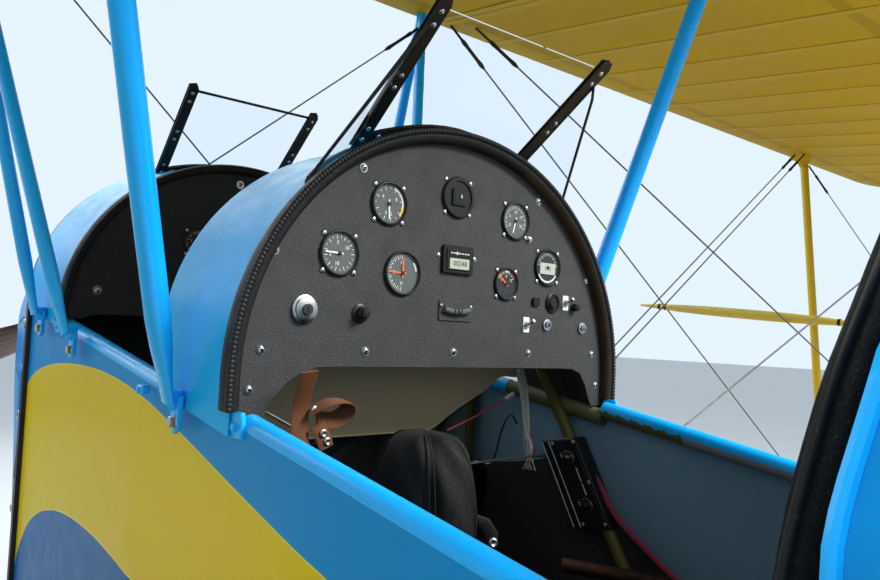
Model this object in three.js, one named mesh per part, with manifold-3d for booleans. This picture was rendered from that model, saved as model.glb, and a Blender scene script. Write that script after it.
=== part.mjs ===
// A two-seat open-cockpit biplane with a tail wheel, parked on its gear. Millimetres.
// +X is to port, -Y is forward and +Z is up. The floor is z = 0.
import * as THREE from "three";
import { mergeVertices } from "three/addons/utils/BufferGeometryUtils.js";
import Module from "manifold-3d";

const wasm = await Module();
wasm.setup();

// Driving dimensions
const GAP = 0.3; // between pieces that touch
const RAIL_HEIGHT = 1338; // top longeron beside the rear instrument panel, above the floor
const RAIL_SLOPE = Math.tan(THREE.MathUtils.degToRad(9)); // the longerons rise forward
const COCKPIT_HALF = 340; // half the fuselage's outside width
const WALL = 20; // frame tube and fabric
const SKIN = 8; // decks and cowling
const DECK_HALF = COCKPIT_HALF + GAP + SKIN; // the decks' edges lie outside the walls
const DECK_LAP = 35; // under the longeron's top
const DECK_CLEARANCE = 1.4; // a panel's rim, as the deck over it slopes
const REAR_PANEL_Y = 0;
const FRONT_PANEL_Y = -680;
const COAMING_REACH = 16; // a deck runs this far aft of its panel
const FIREWALL_Y = -885;
const EDGE_RISE = 14; // the open cockpit's edge, over the longeron under the decks
const SEAT_BULKHEAD_Y = 672;
const STERN_Y = 4350;
const BELLY_HEIGHT = 620; // at the rear panel
const BELLY_SLOPE = 0.1; // ahead of the rear panel
const WING_PITCH = THREE.MathUtils.degToRad(6);
const CHORD = 1390;
const FRONT_SPAR = 150; // aft of the leading edge
const THICKNESS = 0.105; // of the chord
const HALF_SPAN = 3800;
const RIB_PITCH = 215;
const SCALLOP = 14; // the edge draws in between ribs
const CENTRE_HALF = 625; // half-width of the wing's centre section
const UPPER_UNDERSIDE = 2298; // below the front spar
const UPPER_SPAR_Y = -740;
const CABANE_TOP_Y = -793;
const LOWER_UNDERSIDE = 655; // at the root, below the front spar
const LOWER_SPAR_Y = -650;
const LOWER_DIHEDRAL = THREE.MathUtils.degToRad(1.5);
const BAY_X = 2765; // interplane struts
const STRUT_SPACING = 860; // front to rear interplane strut
const WIRE_INSET = 50; // wires start this far from the strut's axis
const WIRE_RADIUS = 3.5;
const STRUT_RADIUS = 16;
const WHEEL_Y = -800;
const WHEEL_X = 760;
const TYRE_RADIUS = 218;
const TYRE_HALF_WIDTH = 60;
const THRUST_PITCH = THREE.MathUtils.degToRad(7);
const THRUST_HEIGHT = 1334.5; // at the firewall
const NOSE_LENGTH = 885.3; // firewall to the propeller's hub
const PROPELLER_RADIUS = 870;
const AILERON = { from: 1500, to: 3480, front: 1075, hinge: 1091, gap: 17, drop: 34 };

// Paint and cloth, as sRGB
const BLUE = { color: 0x1183cf, roughness: 0.3, metalness: 0 };
const YELLOW = { color: 0xd9a916, roughness: 0.5, metalness: 0 };
const BLACK = { color: 0x17171a, roughness: 0.8, metalness: 0 };
const LEATHER = { color: 0x1c1b1d, roughness: 0.5, metalness: 0 };
const TAN = { color: 0x9a8765, roughness: 0.9, metalness: 0 };
const STEEL = { color: 0x9a9ca0, roughness: 0.35, metalness: 1 };
const RUBBER = { color: 0x1a1a1b, roughness: 0.85, metalness: 0 };
const WOOD = { color: 0x7a4a24, roughness: 0.35, metalness: 0 };
const CLEAR = { color: 0xdfe8ec, roughness: 0.05, metalness: 0, transparent: true, opacity: 0.35 };

const at = (x, y, z) => new THREE.Vector3(x, y, z);
const railZ = (y) => RAIL_HEIGHT - RAIL_SLOPE * y;
const bellyZ = (y) => BELLY_HEIGHT - (y < 0 ? BELLY_SLOPE : 0.045) * y;

// A closed geometry as a solid with its faces out
function solid(geometry) {
  const bare = geometry.clone();
  bare.deleteAttribute("normal");
  bare.deleteAttribute("uv");
  const merged = mergeVertices(bare, 1e-3);
  const triVerts = new Uint32Array(merged.index.array);
  const vertProperties = new Float32Array(merged.attributes.position.array);
  const made = new wasm.Manifold(new wasm.Mesh({ numProp: 3, vertProperties, triVerts }));
  if (made.volume() > 0) return made;
  for (let i = 0; i < triVerts.length; i += 3) {
    [triVerts[i + 1], triVerts[i + 2]] = [triVerts[i + 2], triVerts[i + 1]];
  }
  return new wasm.Manifold(new wasm.Mesh({ numProp: 3, vertProperties, triVerts }));
}

const join = (first, ...others) => others.reduce((sum, next) => sum.add(next), first);
const cut = (first, ...others) => others.reduce((rest, next) => rest.subtract(next), first);

function moved(body, offset) {
  return body.translate([offset.x, offset.y, offset.z]);
}

// Rings of like points, joined and closed at both ends
function loft(rings) {
  const count = rings[0].length;
  const positions = [];
  const index = [];
  const centre = (ring) =>
    ring.reduce((sum, p) => sum.add(p), at(0, 0, 0)).divideScalar(ring.length);
  for (const ring of rings) ring.forEach((p) => positions.push(p.x, p.y, p.z));
  for (let i = 0; i + 1 < rings.length; i++) {
    for (let j = 0; j < count; j++) {
      const a = i * count + j;
      const b = i * count + ((j + 1) % count);
      index.push(a, b, b + count, a, b + count, a + count);
    }
  }
  [0, rings.length - 1].forEach((last, end) => {
    const middle = positions.length / 3;
    const c = centre(rings[last]);
    positions.push(c.x, c.y, c.z);
    for (let j = 0; j < count; j++) {
      const pair = [last * count + j, last * count + ((j + 1) % count)];
      if (end) pair.reverse();
      index.push(middle, pair[1], pair[0]);
    }
  });
  const geometry = new THREE.BufferGeometry();
  geometry.setAttribute("position", new THREE.Float32BufferAttribute(positions, 3));
  geometry.setIndex(index);
  return solid(geometry);
}

// A round bar between two points
function rod(a, b, radius, sides = 8) {
  const geometry = new THREE.CylinderGeometry(radius, radius, a.distanceTo(b), sides);
  const turn = new THREE.Quaternion().setFromUnitVectors(at(0, 1, 0), b.clone().sub(a).normalize());
  geometry.applyQuaternion(turn);
  const middle = a.clone().add(b).divideScalar(2);
  geometry.translate(middle.x, middle.y, middle.z);
  return solid(geometry);
}

function block(low, high) {
  const size = high.clone().sub(low);
  const middle = low.clone().add(high).divideScalar(2);
  return solid(new THREE.BoxGeometry(size.x, size.y, size.z).translate(middle.x, middle.y, middle.z));
}

// An outline of [y, z] points, with its thickness across from x0 to x1
function sidePlate(outline, x0, x1) {
  const shape = new THREE.Shape(outline.map(([y, z]) => new THREE.Vector2(y, z)));
  const geometry = new THREE.ExtrudeGeometry(shape, { depth: x1 - x0, bevelEnabled: false });
  const across = new THREE.Matrix4().makeBasis(at(0, 1, 0), at(0, 0, 1), at(1, 0, 0));
  return solid(geometry.applyMatrix4(across).translate(x0, 0, 0));
}

// A turned body about the X axis: profile of [x, radius], from the axis to the axis
function turned(profile, sides) {
  const geometry = new THREE.LatheGeometry(
    profile.map(([x, radius]) => new THREE.Vector2(radius, x)),
    sides,
  );
  return solid(geometry.rotateZ(-Math.PI / 2));
}

const group = new THREE.Group();
const airframe = new THREE.Group(); // shifted at the end, so that the box's middle is the origin
group.add(airframe);

function geometryOf(body) {
  const mesh = body.getMesh();
  const geometry = new THREE.BufferGeometry();
  const positions = new Float32Array(mesh.numVert * 3);
  for (let i = 0; i < mesh.numVert; i++) {
    for (let k = 0; k < 3; k++) positions[3 * i + k] = mesh.vertProperties[mesh.numProp * i + k];
  }
  geometry.setAttribute("position", new THREE.BufferAttribute(positions, 3));
  geometry.setIndex(new THREE.BufferAttribute(new Uint32Array(mesh.triVerts), 1));
  return geometry;
}

function node(name, body, finish, parent = airframe) {
  const mesh = new THREE.Mesh(geometryOf(body), new THREE.MeshStandardMaterial(finish));
  mesh.geometry.computeVertexNormals();
  mesh.name = name;
  parent.add(mesh);
  return mesh;
}

const SIDES = [
  ["port", 1],
  ["starboard", -1],
];

const mirror = (body, side) => (side > 0 ? body : body.mirror([1, 0, 0]));

// Fuselage: flat fabric sides, a floor, and decks over the frame tubes
const ARCH_STEPS = 12;

// A ring in a plane across the fuselage: straight sides up from z0, then a half ellipse
function archRing(y, half, z0, straight, top) {
  const ring = [at(-half, y, z0), at(half, y, z0)];
  const rise = top - z0 - straight;
  for (let i = 0; i <= ARCH_STEPS; i++) {
    const angle = (Math.PI * i) / ARCH_STEPS;
    ring.push(at(half * Math.cos(angle), y, z0 + straight + rise * Math.sin(angle)));
  }
  return ring;
}

const REAR_ARCH = { straight: 50, top: RAIL_HEIGHT + 394 };
const FRONT_ARCH = { straight: 2, top: RAIL_HEIGHT + 437 };
const FIREWALL_ARCH = { straight: 2, top: RAIL_HEIGHT + 456 };

function wallOutline() {
  const step = REAR_PANEL_Y + COAMING_REACH + 1;
  const top = [FIREWALL_Y, step].map((y) => [y, railZ(y)]);
  const edge = [step + 5, SEAT_BULKHEAD_Y].map((y) => [y, railZ(y) + EDGE_RISE]);
  const bottom = [SEAT_BULKHEAD_Y, 0, FIREWALL_Y].map((y) => [y, bellyZ(y)]);
  return [...top, ...edge, ...bottom];
}

// A deck shell between two arches, open below and at both ends
function deck(y0, arch0, y1, arch1) {
  const past = 30;
  const ring = (y, arch, half, down, top) =>
    archRing(y, half, railZ(y) - down, arch.straight + down, top);
  const outer = [
    ring(y0, arch0, DECK_HALF, DECK_LAP, arch0.top),
    ring(y1, arch1, DECK_HALF, DECK_LAP, arch1.top),
  ];
  const inner = [
    ring(y0 - past, arch0, DECK_HALF - SKIN, DECK_LAP + past, arch0.top - SKIN),
    ring(y1 + past, arch1, DECK_HALF - SKIN, DECK_LAP + past, arch1.top - SKIN),
  ];
  return cut(loft(outer), loft(inner));
}

for (const [side, sign] of SIDES) {
  const wall = sidePlate(wallOutline(), COCKPIT_HALF - WALL, COCKPIT_HALF);
  node("side_wall_" + side, mirror(wall, sign), BLUE);
}

const bellyInset = COCKPIT_HALF - WALL - GAP;
const bellyOutline = [FIREWALL_Y, 0, SEAT_BULKHEAD_Y].map((y) => [y, bellyZ(y)]);
const bellyTop = bellyOutline.map(([y, z]) => [y, z + WALL]).reverse();
node("belly", sidePlate([...bellyOutline, ...bellyTop], -bellyInset, bellyInset), BLUE);

node("rear_deck", deck(-200, REAR_ARCH, REAR_PANEL_Y + COAMING_REACH, REAR_ARCH), BLUE);
node(
  "front_deck",
  deck(FIREWALL_Y, FIREWALL_ARCH, FRONT_PANEL_Y + COAMING_REACH, FRONT_ARCH),
  BLUE,
);

// Aft fuselage and the turtledeck with its headrest fairing
const STERN_HALF = 28;
const halfAt = (y) => {
  const share = (y - SEAT_BULKHEAD_Y) / (STERN_Y - SEAT_BULKHEAD_Y);
  return COCKPIT_HALF + (STERN_HALF - COCKPIT_HALF) * share;
};
const aftStart = SEAT_BULKHEAD_Y + GAP;
const aftSections = [aftStart, STERN_Y].map((y) => {
  const half = halfAt(y);
  const low = bellyZ(y);
  const high = railZ(y);
  return [at(-half, y, low), at(half, y, low), at(half, y, high), at(-half, y, high)];
});

const tail = new THREE.Group(); // the longerons' frame: y aft from the stern post, z over the longeron
tail.position.set(0, STERN_Y, railZ(STERN_Y));
tail.rotation.x = -Math.atan(RAIL_SLOPE);
airframe.add(tail);
tail.updateMatrixWorld(true);
const inWorld = (body, frame) => body.transform(frame.matrixWorld.toArray());

const RUDDER_HINGE = 62; // aft of the stern post
const RUDDER_FOOT = -190; // under the longeron
const heelTop = RUDDER_FOOT - 16;
const heel = block(at(-14, -40, heelTop - 14), at(14, RUDDER_HINGE + 18, heelTop));
node("aft_fuselage", join(loft(aftSections), inWorld(heel, tail)), BLUE);

const TURTLEDECK = [
  // y, height over the longeron
  [aftStart, 400],
  [1100, 345],
  [1700, 250],
  [2600, 140],
  [3560, 25],
];
const turtledeckRings = TURTLEDECK.map(([y, height]) => {
  const base = railZ(y) + GAP;
  return archRing(y, halfAt(y), base, 2, base + height);
});
node("turtledeck", loft(turtledeckRings), BLUE);

// Instrument panels: a horseshoe outline with a raised lower edge between two lobes
function panel(y, arch, foot, kneeHalf, kneeHeight) {
  const inset = SKIN + DECK_CLEARANCE;
  const half = DECK_HALF - inset;
  const low = railZ(y) + 1;
  const shape = new THREE.Shape();
  const straightTop = railZ(y) + arch.straight;
  shape.moveTo(-half, low);
  shape.lineTo(-half, straightTop);
  for (let i = ARCH_STEPS - 1; i > 0; i--) {
    const angle = (Math.PI * i) / ARCH_STEPS;
    const rise = arch.top - inset - straightTop;
    shape.lineTo(half * Math.cos(angle), straightTop + rise * Math.sin(angle));
  }
  shape.lineTo(half, straightTop);
  shape.lineTo(half, low);
  shape.lineTo(half - foot, low);
  shape.lineTo(kneeHalf, low + kneeHeight);
  shape.lineTo(-kneeHalf, low + kneeHeight);
  shape.lineTo(-half + foot, low);
  shape.closePath();
  const depth = 4;
  const geometry = new THREE.ExtrudeGeometry(shape, { depth, bevelEnabled: false });
  geometry.rotateX(Math.PI / 2);
  geometry.translate(0, y + depth / 2, 0);
  return solid(geometry);
}

node("rear_instrument_panel", panel(REAR_PANEL_Y, REAR_ARCH, 24, 250, 60), BLACK);
node("front_instrument_panel", panel(FRONT_PANEL_Y, FRONT_ARCH, 24, 250, 10), BLACK);

// Firewall, engine, cowling, propeller
const firewallThickness = 5;
const firewallBack = FIREWALL_Y - GAP;
const firewallRings = [firewallBack, firewallBack - firewallThickness].map((y) => {
  const low = bellyZ(FIREWALL_Y);
  return archRing(y, DECK_HALF, low, railZ(FIREWALL_Y) - low, FIREWALL_ARCH.top);
});
node("firewall", loft(firewallRings), STEEL);

const noseY = (along) => FIREWALL_Y - along * Math.cos(THRUST_PITCH);
const noseZ = (along) => THRUST_HEIGHT + along * Math.sin(THRUST_PITCH);
const COWL_START = (firewallThickness + 2 * GAP) / Math.cos(THRUST_PITCH);
const COWL = [
  // along the thrust line, half-width, below, straight, above
  [COWL_START, DECK_HALF, 625, 712, 455],
  [230, 296, 550, 620, 415],
  [480, 244, 430, 480, 350],
  [700, 205, 290, 285, 255],
  [820, 165, 185, 185, 180],
];
function cowlRings(inset) {
  return COWL.map(([along, half, below, straight, above], i) => {
    const past = inset && (i === 0 ? -20 : i === COWL.length - 1 ? 20 : 0);
    const z = noseZ(along);
    const low = z - below + inset;
    return archRing(noseY(along + past), half - inset, low, straight - inset, z + above - inset);
  });
}
node("cowling", cut(loft(cowlRings(0)), loft(cowlRings(SKIN))), BLUE);

const nose = new THREE.Group(); // its -Y axis is the thrust line
nose.position.set(0, FIREWALL_Y, THRUST_HEIGHT);
nose.rotation.x = -THRUST_PITCH;
airframe.add(nose);

const engineFront = 690;
const engineBack = 55; // the pitched block's lower edge then clears the firewall
const shaftEnd = NOSE_LENGTH - 45;
const engineBlock = join(
  block(at(-170, -engineFront + 120, -230), at(170, -engineBack, 190)),
  block(at(-60, -engineBack - 10, -30), at(60, -9.4, 30)),
  rod(at(0, -engineFront + 160, 0), at(0, -shaftEnd, 0), 38, 16),
);
node("engine", engineBlock, STEEL, nose);

// One blade: chord and twist grow smaller to the tip
const BLADE = [
  // radius, chord, thickness, angle in degrees
  [40, 100, 60, 40],
  [160, 120, 38, 36],
  [420, 135, 22, 24],
  [700, 110, 14, 16],
  [PROPELLER_RADIUS, 50, 7, 12],
];
function blade() {
  const outline = [
    [-0.5, 0],
    [-0.25, 0.4],
    [0.1, 0.5],
    [0.5, 0.05],
    [0.2, -0.35],
    [-0.25, -0.3],
  ];
  const rings = BLADE.map(([radius, chord, thickness, angle]) => {
    const turn = THREE.MathUtils.degToRad(angle);
    return outline.map(([c, t]) => {
      const across = c * chord;
      const through = t * thickness;
      return at(
        across * Math.cos(turn) - through * Math.sin(turn),
        -NOSE_LENGTH - across * Math.sin(turn) - through * Math.cos(turn),
        radius,
      );
    });
  });
  return loft(rings);
}
const propellerBoss = rod(at(0, -NOSE_LENGTH + 45 - GAP, 0), at(0, -NOSE_LENGTH - 45, 0), 70, 20);
const BLADE_REST = 112; // degrees from upright, where the aircraft is parked
const blades = join(blade(), blade().rotate([0, 180, 0])).rotate([0, BLADE_REST, 0]);
const propeller = join(propellerBoss, blades);
node("propeller", propeller, WOOD, nose);
const spinnerProfile = [
  [0, 0],
  [0, 130],
  [60, 118],
  [120, 88],
  [175, 40],
  [195, 0],
];
const spinnerStart = NOSE_LENGTH + 45 + GAP;
const spinner = turned(spinnerProfile, 20).rotate([0, 0, -90]);
node("spinner", moved(spinner, at(0, -spinnerStart, 0)), BLUE, nose);

// Seats: a pan, and a padded back that leans aft, drawn as rows of [height, half its width]
const PAN = { half: 260, above: 60, below: 40, lap: 20 };
function seat({ y, lean, thick, panReach, widths }) {
  const foot = widths[0][0];
  const ring = (aft) => {
    const edge = (sign) => ([z, half]) => at(sign * half, y + lean * (z - foot) + aft, z);
    return [...widths.map(edge(1)), ...widths.map(edge(-1)).reverse()];
  };
  const pan = block(
    at(-PAN.half, y - panReach, foot - PAN.below),
    at(PAN.half, y + PAN.lap, foot + PAN.above),
  );
  return join(loft([ring(0), ring(thick)]), pan);
}
const rearSeat = {
  y: 584,
  lean: 0.05,
  thick: 50,
  panReach: 444,
  widths: [
    [900, 285],
    [1290, 306],
    [1418, 260],
    [1503, 200],
    [1560, 155],
    [1605, 108],
    [1632, 55],
  ],
};
const frontSeat = {
  y: -330,
  lean: 0.36,
  thick: 50,
  panReach: 330,
  widths: [
    [960, 300],
    [1430, 300],
  ],
};
node("rear_seat", seat(rearSeat), LEATHER);
node("front_seat", seat(frontSeat), TAN);

// Each seat stands on an open box, whose two sides follow the sloping floor
const BOX = { half: 235, wall: 30 };
function seatBox(y0, y1, top) {
  const floor = (y) => bellyZ(y) + WALL + GAP;
  const outline = [
    [y0, floor(y0)],
    [y1, floor(y1)],
    [y1, top - GAP],
    [y0, top - GAP],
  ];
  const inside = BOX.half - BOX.wall;
  const hollow = block(at(-inside, y0 - 50, 0), at(inside, y1 + 50, top - BOX.wall));
  return cut(sidePlate(outline, -BOX.half, BOX.half), hollow);
}
node("rear_seat_box", seatBox(140, 460, 860), STEEL);
node("front_seat_box", seatBox(-620, -350, 920), STEEL);

// Wings
const AEROFOIL = [
  // share of the chord, height as a share of the thickness, over the flat underside
  [0, 0.3],
  [0.012, 0.55],
  [0.05, 0.78],
  [0.13, 0.95],
  [0.3, 1.02],
  [0.5, 0.88],
  [0.72, 0.58],
  [0.9, 0.24],
  [1, 0.05],
  [1, 0],
  [0.6, 0],
  [0.14, 0],
  [0.03, 0.06],
];

// One panel in its own frame: y aft from the leading edge, z over the underside
function wingPanel(x0, x1, { grow = 0, dihedral = 0, round = false, scallop = SCALLOP } = {}) {
  const bays = Math.max(1, Math.round((x1 - x0) / RIB_PITCH));
  const stations = [];
  for (let i = 0; i <= 2 * bays; i++) {
    const x = x0 + ((x1 - x0) * i) / (2 * bays);
    stations.push([x, i % 2 ? scallop : 0]);
  }
  const tip = 300; // length of the rounded tip
  const rings = stations.map(([x, draw]) => {
    const into = round ? Math.max(0, (x - (x1 - tip)) / tip) : 0;
    const share = Math.sqrt(Math.max(0, 1 - into * into * 0.93));
    const front = CHORD * 0.36 * (1 - share);
    const chord = CHORD - draw - CHORD * (1 - share) * 0.75;
    const depth = CHORD * THICKNESS * (0.25 + 0.75 * share);
    return AEROFOIL.map(([c, h]) => {
      const z = h * depth + (h > 0.1 ? grow : -grow);
      return at(x, front + c * chord + (c < 0.001 ? -grow : 0), z + x * Math.tan(dihedral));
    });
  });
  return loft(rings);
}

function wingFrame(y, z) {
  const frame = new THREE.Group();
  const back = FRONT_SPAR;
  frame.position.set(0, y - back * Math.cos(WING_PITCH), z + back * Math.sin(WING_PITCH));
  frame.rotation.x = -WING_PITCH;
  airframe.add(frame);
  frame.updateMatrixWorld(true);
  return frame;
}

const upperFrame = wingFrame(UPPER_SPAR_Y, UPPER_UNDERSIDE);
const lowerFrame = wingFrame(LOWER_SPAR_Y, LOWER_UNDERSIDE);

const upperStock = wingPanel(-HALF_SPAN, HALF_SPAN, { grow: GAP, scallop: 0 });
const lowerStock = wingPanel(COCKPIT_HALF, HALF_SPAN, {
  grow: GAP,
  dihedral: LOWER_DIHEDRAL,
  scallop: 0,
});

const centre = wingPanel(-CENTRE_HALF, CENTRE_HALF);
node("upper_wing_centre", centre, YELLOW, upperFrame);
const upperTip = wingPanel(CENTRE_HALF + GAP, HALF_SPAN, { round: true });

const lowerTip = wingPanel(COCKPIT_HALF + GAP, HALF_SPAN - 60, {
  dihedral: LOWER_DIHEDRAL,
  round: true,
});
// The aileron is cut from the lower panel, and turns about a pin at each end
const tall = 400;
const bayEnds = [AILERON.from, AILERON.to];
const wellEnds = [AILERON.from - AILERON.gap, AILERON.to + AILERON.gap];
const aileronStock = block(
  at(bayEnds[0], AILERON.front, -tall),
  at(bayEnds[1], CHORD + tall, tall),
);
const well = block(
  at(wellEnds[0], AILERON.front - AILERON.gap, -tall),
  at(wellEnds[1], CHORD + tall, tall),
);
const hingeZ = (x) => x * Math.tan(LOWER_DIHEDRAL) + AILERON.drop;
const pinReach = AILERON.gap - GAP;
const hingePins = [
  [AILERON.from + 20, AILERON.from - pinReach],
  [AILERON.to - 20, AILERON.to + pinReach],
].map(([a, b]) => rod(at(a, AILERON.hinge, hingeZ(a)), at(b, AILERON.hinge, hingeZ(b)), 7));
const aileron = join(lowerTip.intersect(aileronStock), ...hingePins);
const lowerPanel = cut(lowerTip, well);

for (const [side, sign] of SIDES) {
  node("upper_wing_" + side, mirror(upperTip, sign), YELLOW, upperFrame);
  node("lower_wing_" + side, mirror(lowerPanel, sign), YELLOW, lowerFrame);
  node("aileron_" + side, mirror(aileron, sign), YELLOW, lowerFrame);
}

// Cabane and interplane struts run into the wings' places and are cut back to them
const upperWorld = inWorld(upperStock, upperFrame);
const lowerWorld = inWorld(lowerStock, lowerFrame);
const strutFootX = DECK_HALF + GAP + STRUT_RADIUS;

const cabaneFoot = (y) => at(strutFootX, y, railZ(y) - 12);
const frontFoot = cabaneFoot(-565);
const foremostFoot = cabaneFoot(-763);
const cabaneTop = at(558, -813, UPPER_UNDERSIDE + 30);
const rearFoot = cabaneFoot(-122);
const rearTop = at(617, 68, RAIL_HEIGHT + 977);
const frontPair = keepLongest(
  cut(
    join(
      rod(frontFoot, cabaneTop, STRUT_RADIUS),
      rod(foremostFoot, cabaneTop, STRUT_RADIUS),
    ),
    upperWorld,
  ),
);
const rearCabane = keepLongest(cut(rod(rearFoot, rearTop, STRUT_RADIUS), upperWorld));

const strutBottomX = BAY_X - 15;
const STRUTS = [
  // name, top y, bottom y
  ["front", CABANE_TOP_Y, LOWER_SPAR_Y],
  ["rear", CABANE_TOP_Y + STRUT_SPACING, LOWER_SPAR_Y + STRUT_SPACING],
];
const strutRods = STRUTS.map(([name, topY, bottomY]) => {
  const top = at(BAY_X, topY, UPPER_UNDERSIDE + 40);
  const bottom = at(strutBottomX, bottomY, LOWER_UNDERSIDE - 30);
  return [name, keepLongest(cut(rod(top, bottom, 17), upperWorld, lowerWorld))];
});

// After a cut through a wing, only the stretch between the wings stays
function keepLongest(body) {
  return body.decompose().sort((a, b) => b.volume() - a.volume())[0];
}

for (const [side, sign] of SIDES) {
  node("front_cabane_" + side, mirror(frontPair, sign), BLUE);
  node("rear_cabane_" + side, mirror(rearCabane, sign), BLUE);
  for (const [name, body] of strutRods) {
    node(name + "_interplane_strut_" + side, mirror(body, sign), YELLOW);
  }
}

// Flying and landing wires of one bay, and the javelin that ties them where they cross
const frontNodeX = BAY_X - WIRE_INSET;
const WIRES = {
  front_flying_wire: [
    at(frontNodeX, CABANE_TOP_Y, UPPER_UNDERSIDE + 30),
    at(COCKPIT_HALF + 6, LOWER_SPAR_Y - 12, 800),
  ],
  rear_flying_wire: [
    at(frontNodeX, CABANE_TOP_Y + STRUT_SPACING, UPPER_UNDERSIDE - 60),
    at(COCKPIT_HALF + 6, -450, 805),
  ],
  front_landing_wire: [
    at(625, CABANE_TOP_Y - 20, UPPER_UNDERSIDE + 40),
    at(strutBottomX - WIRE_INSET, LOWER_SPAR_Y - 20, 790),
  ],
  rear_landing_wire: [
    at(680, CABANE_TOP_Y + 20, UPPER_UNDERSIDE + 30),
    at(strutBottomX - WIRE_INSET, LOWER_SPAR_Y + STRUT_SPACING - 10, 660),
  ],
};
const JAVELIN = [at(1655, -850, RAIL_HEIGHT + 246), at(1674, -70, RAIL_HEIGHT + 190)];
const javelinRod = () => {
  const [front, back] = JAVELIN;
  const along = back.clone().sub(front).normalize();
  const point = 60;
  const ends = [
    [front, 3],
    [front.clone().addScaledVector(along, point), 16],
    [back.clone().addScaledVector(along, -point), 16],
    [back, 3],
  ];
  const rings = ends.map(([p, radius]) => {
    const ring = [];
    for (let i = 0; i < 8; i++) {
      const angle = (Math.PI * i) / 4;
      ring.push(at(p.x + radius * Math.cos(angle), p.y, p.z + radius * Math.sin(angle)));
    }
    return ring;
  });
  return loft(rings);
};
let javelin = javelinRod();
const wires = [];
for (const [name, [top, bottom]] of Object.entries(WIRES)) {
  const clearance = rod(top, bottom, WIRE_RADIUS + GAP, 6);
  javelin = cut(javelin, clearance);
  wires.push([name, keepLongest(cut(rod(top, bottom, WIRE_RADIUS, 6), upperWorld, lowerWorld))]);
}
for (const [side, sign] of SIDES) {
  for (const [name, body] of wires) node(name + "_" + side, mirror(body, sign), STEEL);
  node("javelin_" + side, mirror(javelin, sign), YELLOW);
}

// Windscreens: a raked pane that stands on its deck, cut back to it
const PANE = 5;
function windscreen(foot, head) {
  const ring = ([half, y, z]) => [
    at(-half, y, z),
    at(half, y, z),
    at(half, y + PANE, z),
    at(-half, y + PANE, z),
  ];
  return loft([ring(foot), ring(head)]);
}
const deckStock = (y0, arch0, y1, arch1) =>
  loft([
    archRing(y0, DECK_HALF + GAP, railZ(y0), arch0.straight, arch0.top + GAP),
    archRing(y1, DECK_HALF + GAP, railZ(y1), arch1.straight, arch1.top + GAP),
  ]);
// Foot and head of each: half its width, y, z
const rearPane = windscreen([145, -60, REAR_ARCH.top - 25], [155, 124, RAIL_HEIGHT + 510]);
const frontPane = windscreen([130, -841, RAIL_HEIGHT + 400], [137, -652, RAIL_HEIGHT + 570]);
const rearDeckStock = deckStock(-200, REAR_ARCH, REAR_PANEL_Y + COAMING_REACH, REAR_ARCH);
const frontDeckStock = deckStock(
  FIREWALL_Y,
  FIREWALL_ARCH,
  FRONT_PANEL_Y + COAMING_REACH,
  FRONT_ARCH,
);
node("rear_windscreen", cut(rearPane, rearDeckStock), CLEAR);
node("front_windscreen", cut(frontPane, frontDeckStock), CLEAR);

// The control stick stands on the floor ahead of the rear seat
const STICK_Y = 60;
const stickFoot = at(0, STICK_Y, bellyZ(STICK_Y - 40) + WALL + GAP);
const stick = join(
  rod(stickFoot, at(0, STICK_Y + 25, stickFoot.z + 380), 11),
  rod(at(0, STICK_Y + 24, stickFoot.z + 370), at(0, STICK_Y + 30, stickFoot.z + 480), 17),
  rod(stickFoot, at(0, STICK_Y, stickFoot.z + 30), 40, 12),
);
node("control_stick", stick, BLACK);

// Main gear: three tubes each side carry a stub axle
const axleZ = TYRE_RADIUS;
const legSpread = [
  at(COCKPIT_HALF - 80, -845, 0),
  at(COCKPIT_HALF - 80, -330, 0),
  at(70, -780, 0),
];
const stub = at(WHEEL_X - TYRE_HALF_WIDTH - 30, WHEEL_Y, axleZ);
const bellyStock = sidePlate(
  [
    [FIREWALL_Y - 100, bellyZ(FIREWALL_Y - 100) - GAP],
    [0, bellyZ(0) - GAP],
    [200, bellyZ(200) - GAP],
    [200, 1200],
    [FIREWALL_Y - 100, 1200],
  ],
  -COCKPIT_HALF,
  COCKPIT_HALF,
);
const legs = legSpread.map((top) => {
  const head = top.clone().setZ(bellyZ(top.y) + 25);
  return cut(rod(head, stub, 18), bellyStock);
});
const axle = rod(stub.clone().setX(stub.x - 24), at(WHEEL_X + 66, WHEEL_Y, axleZ), 15, 16);
const gear = join(legs[0], legs[1], legs[2], axle, rod(stub.clone().setX(stub.x - 30), stub, 30, 12));

const BORE = 15.5;
const hubProfile = [
  [-52, BORE],
  [-52, 45],
  [-34, 50],
  [-30, 112],
  [30, 112],
  [34, 50],
  [52, 45],
  [52, BORE],
  [-52, BORE],
];
const tyreInner = 112 + GAP;
const tyreProfile = [[-38, tyreInner]];
const TYRE_STEPS = 10;
const WHEEL_SIDES = 28;
for (let i = 0; i <= TYRE_STEPS; i++) {
  const angle = Math.PI * (1 - i / TYRE_STEPS);
  tyreProfile.push([
    TYRE_HALF_WIDTH * Math.cos(angle),
    TYRE_RADIUS - 72 + 72 * Math.sin(angle),
  ]);
}
tyreProfile.push([38, tyreInner], [-38, tyreInner]);
for (const [side, sign] of SIDES) {
  node("main_gear_" + side, mirror(gear, sign), BLUE);
  const wheel = at(sign * WHEEL_X, WHEEL_Y, axleZ);
  node("wheel_hub_" + side, moved(turned(hubProfile, WHEEL_SIDES), wheel), STEEL);
  node("tyre_" + side, moved(turned(tyreProfile, WHEEL_SIDES), wheel), RUBBER);
}

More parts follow.
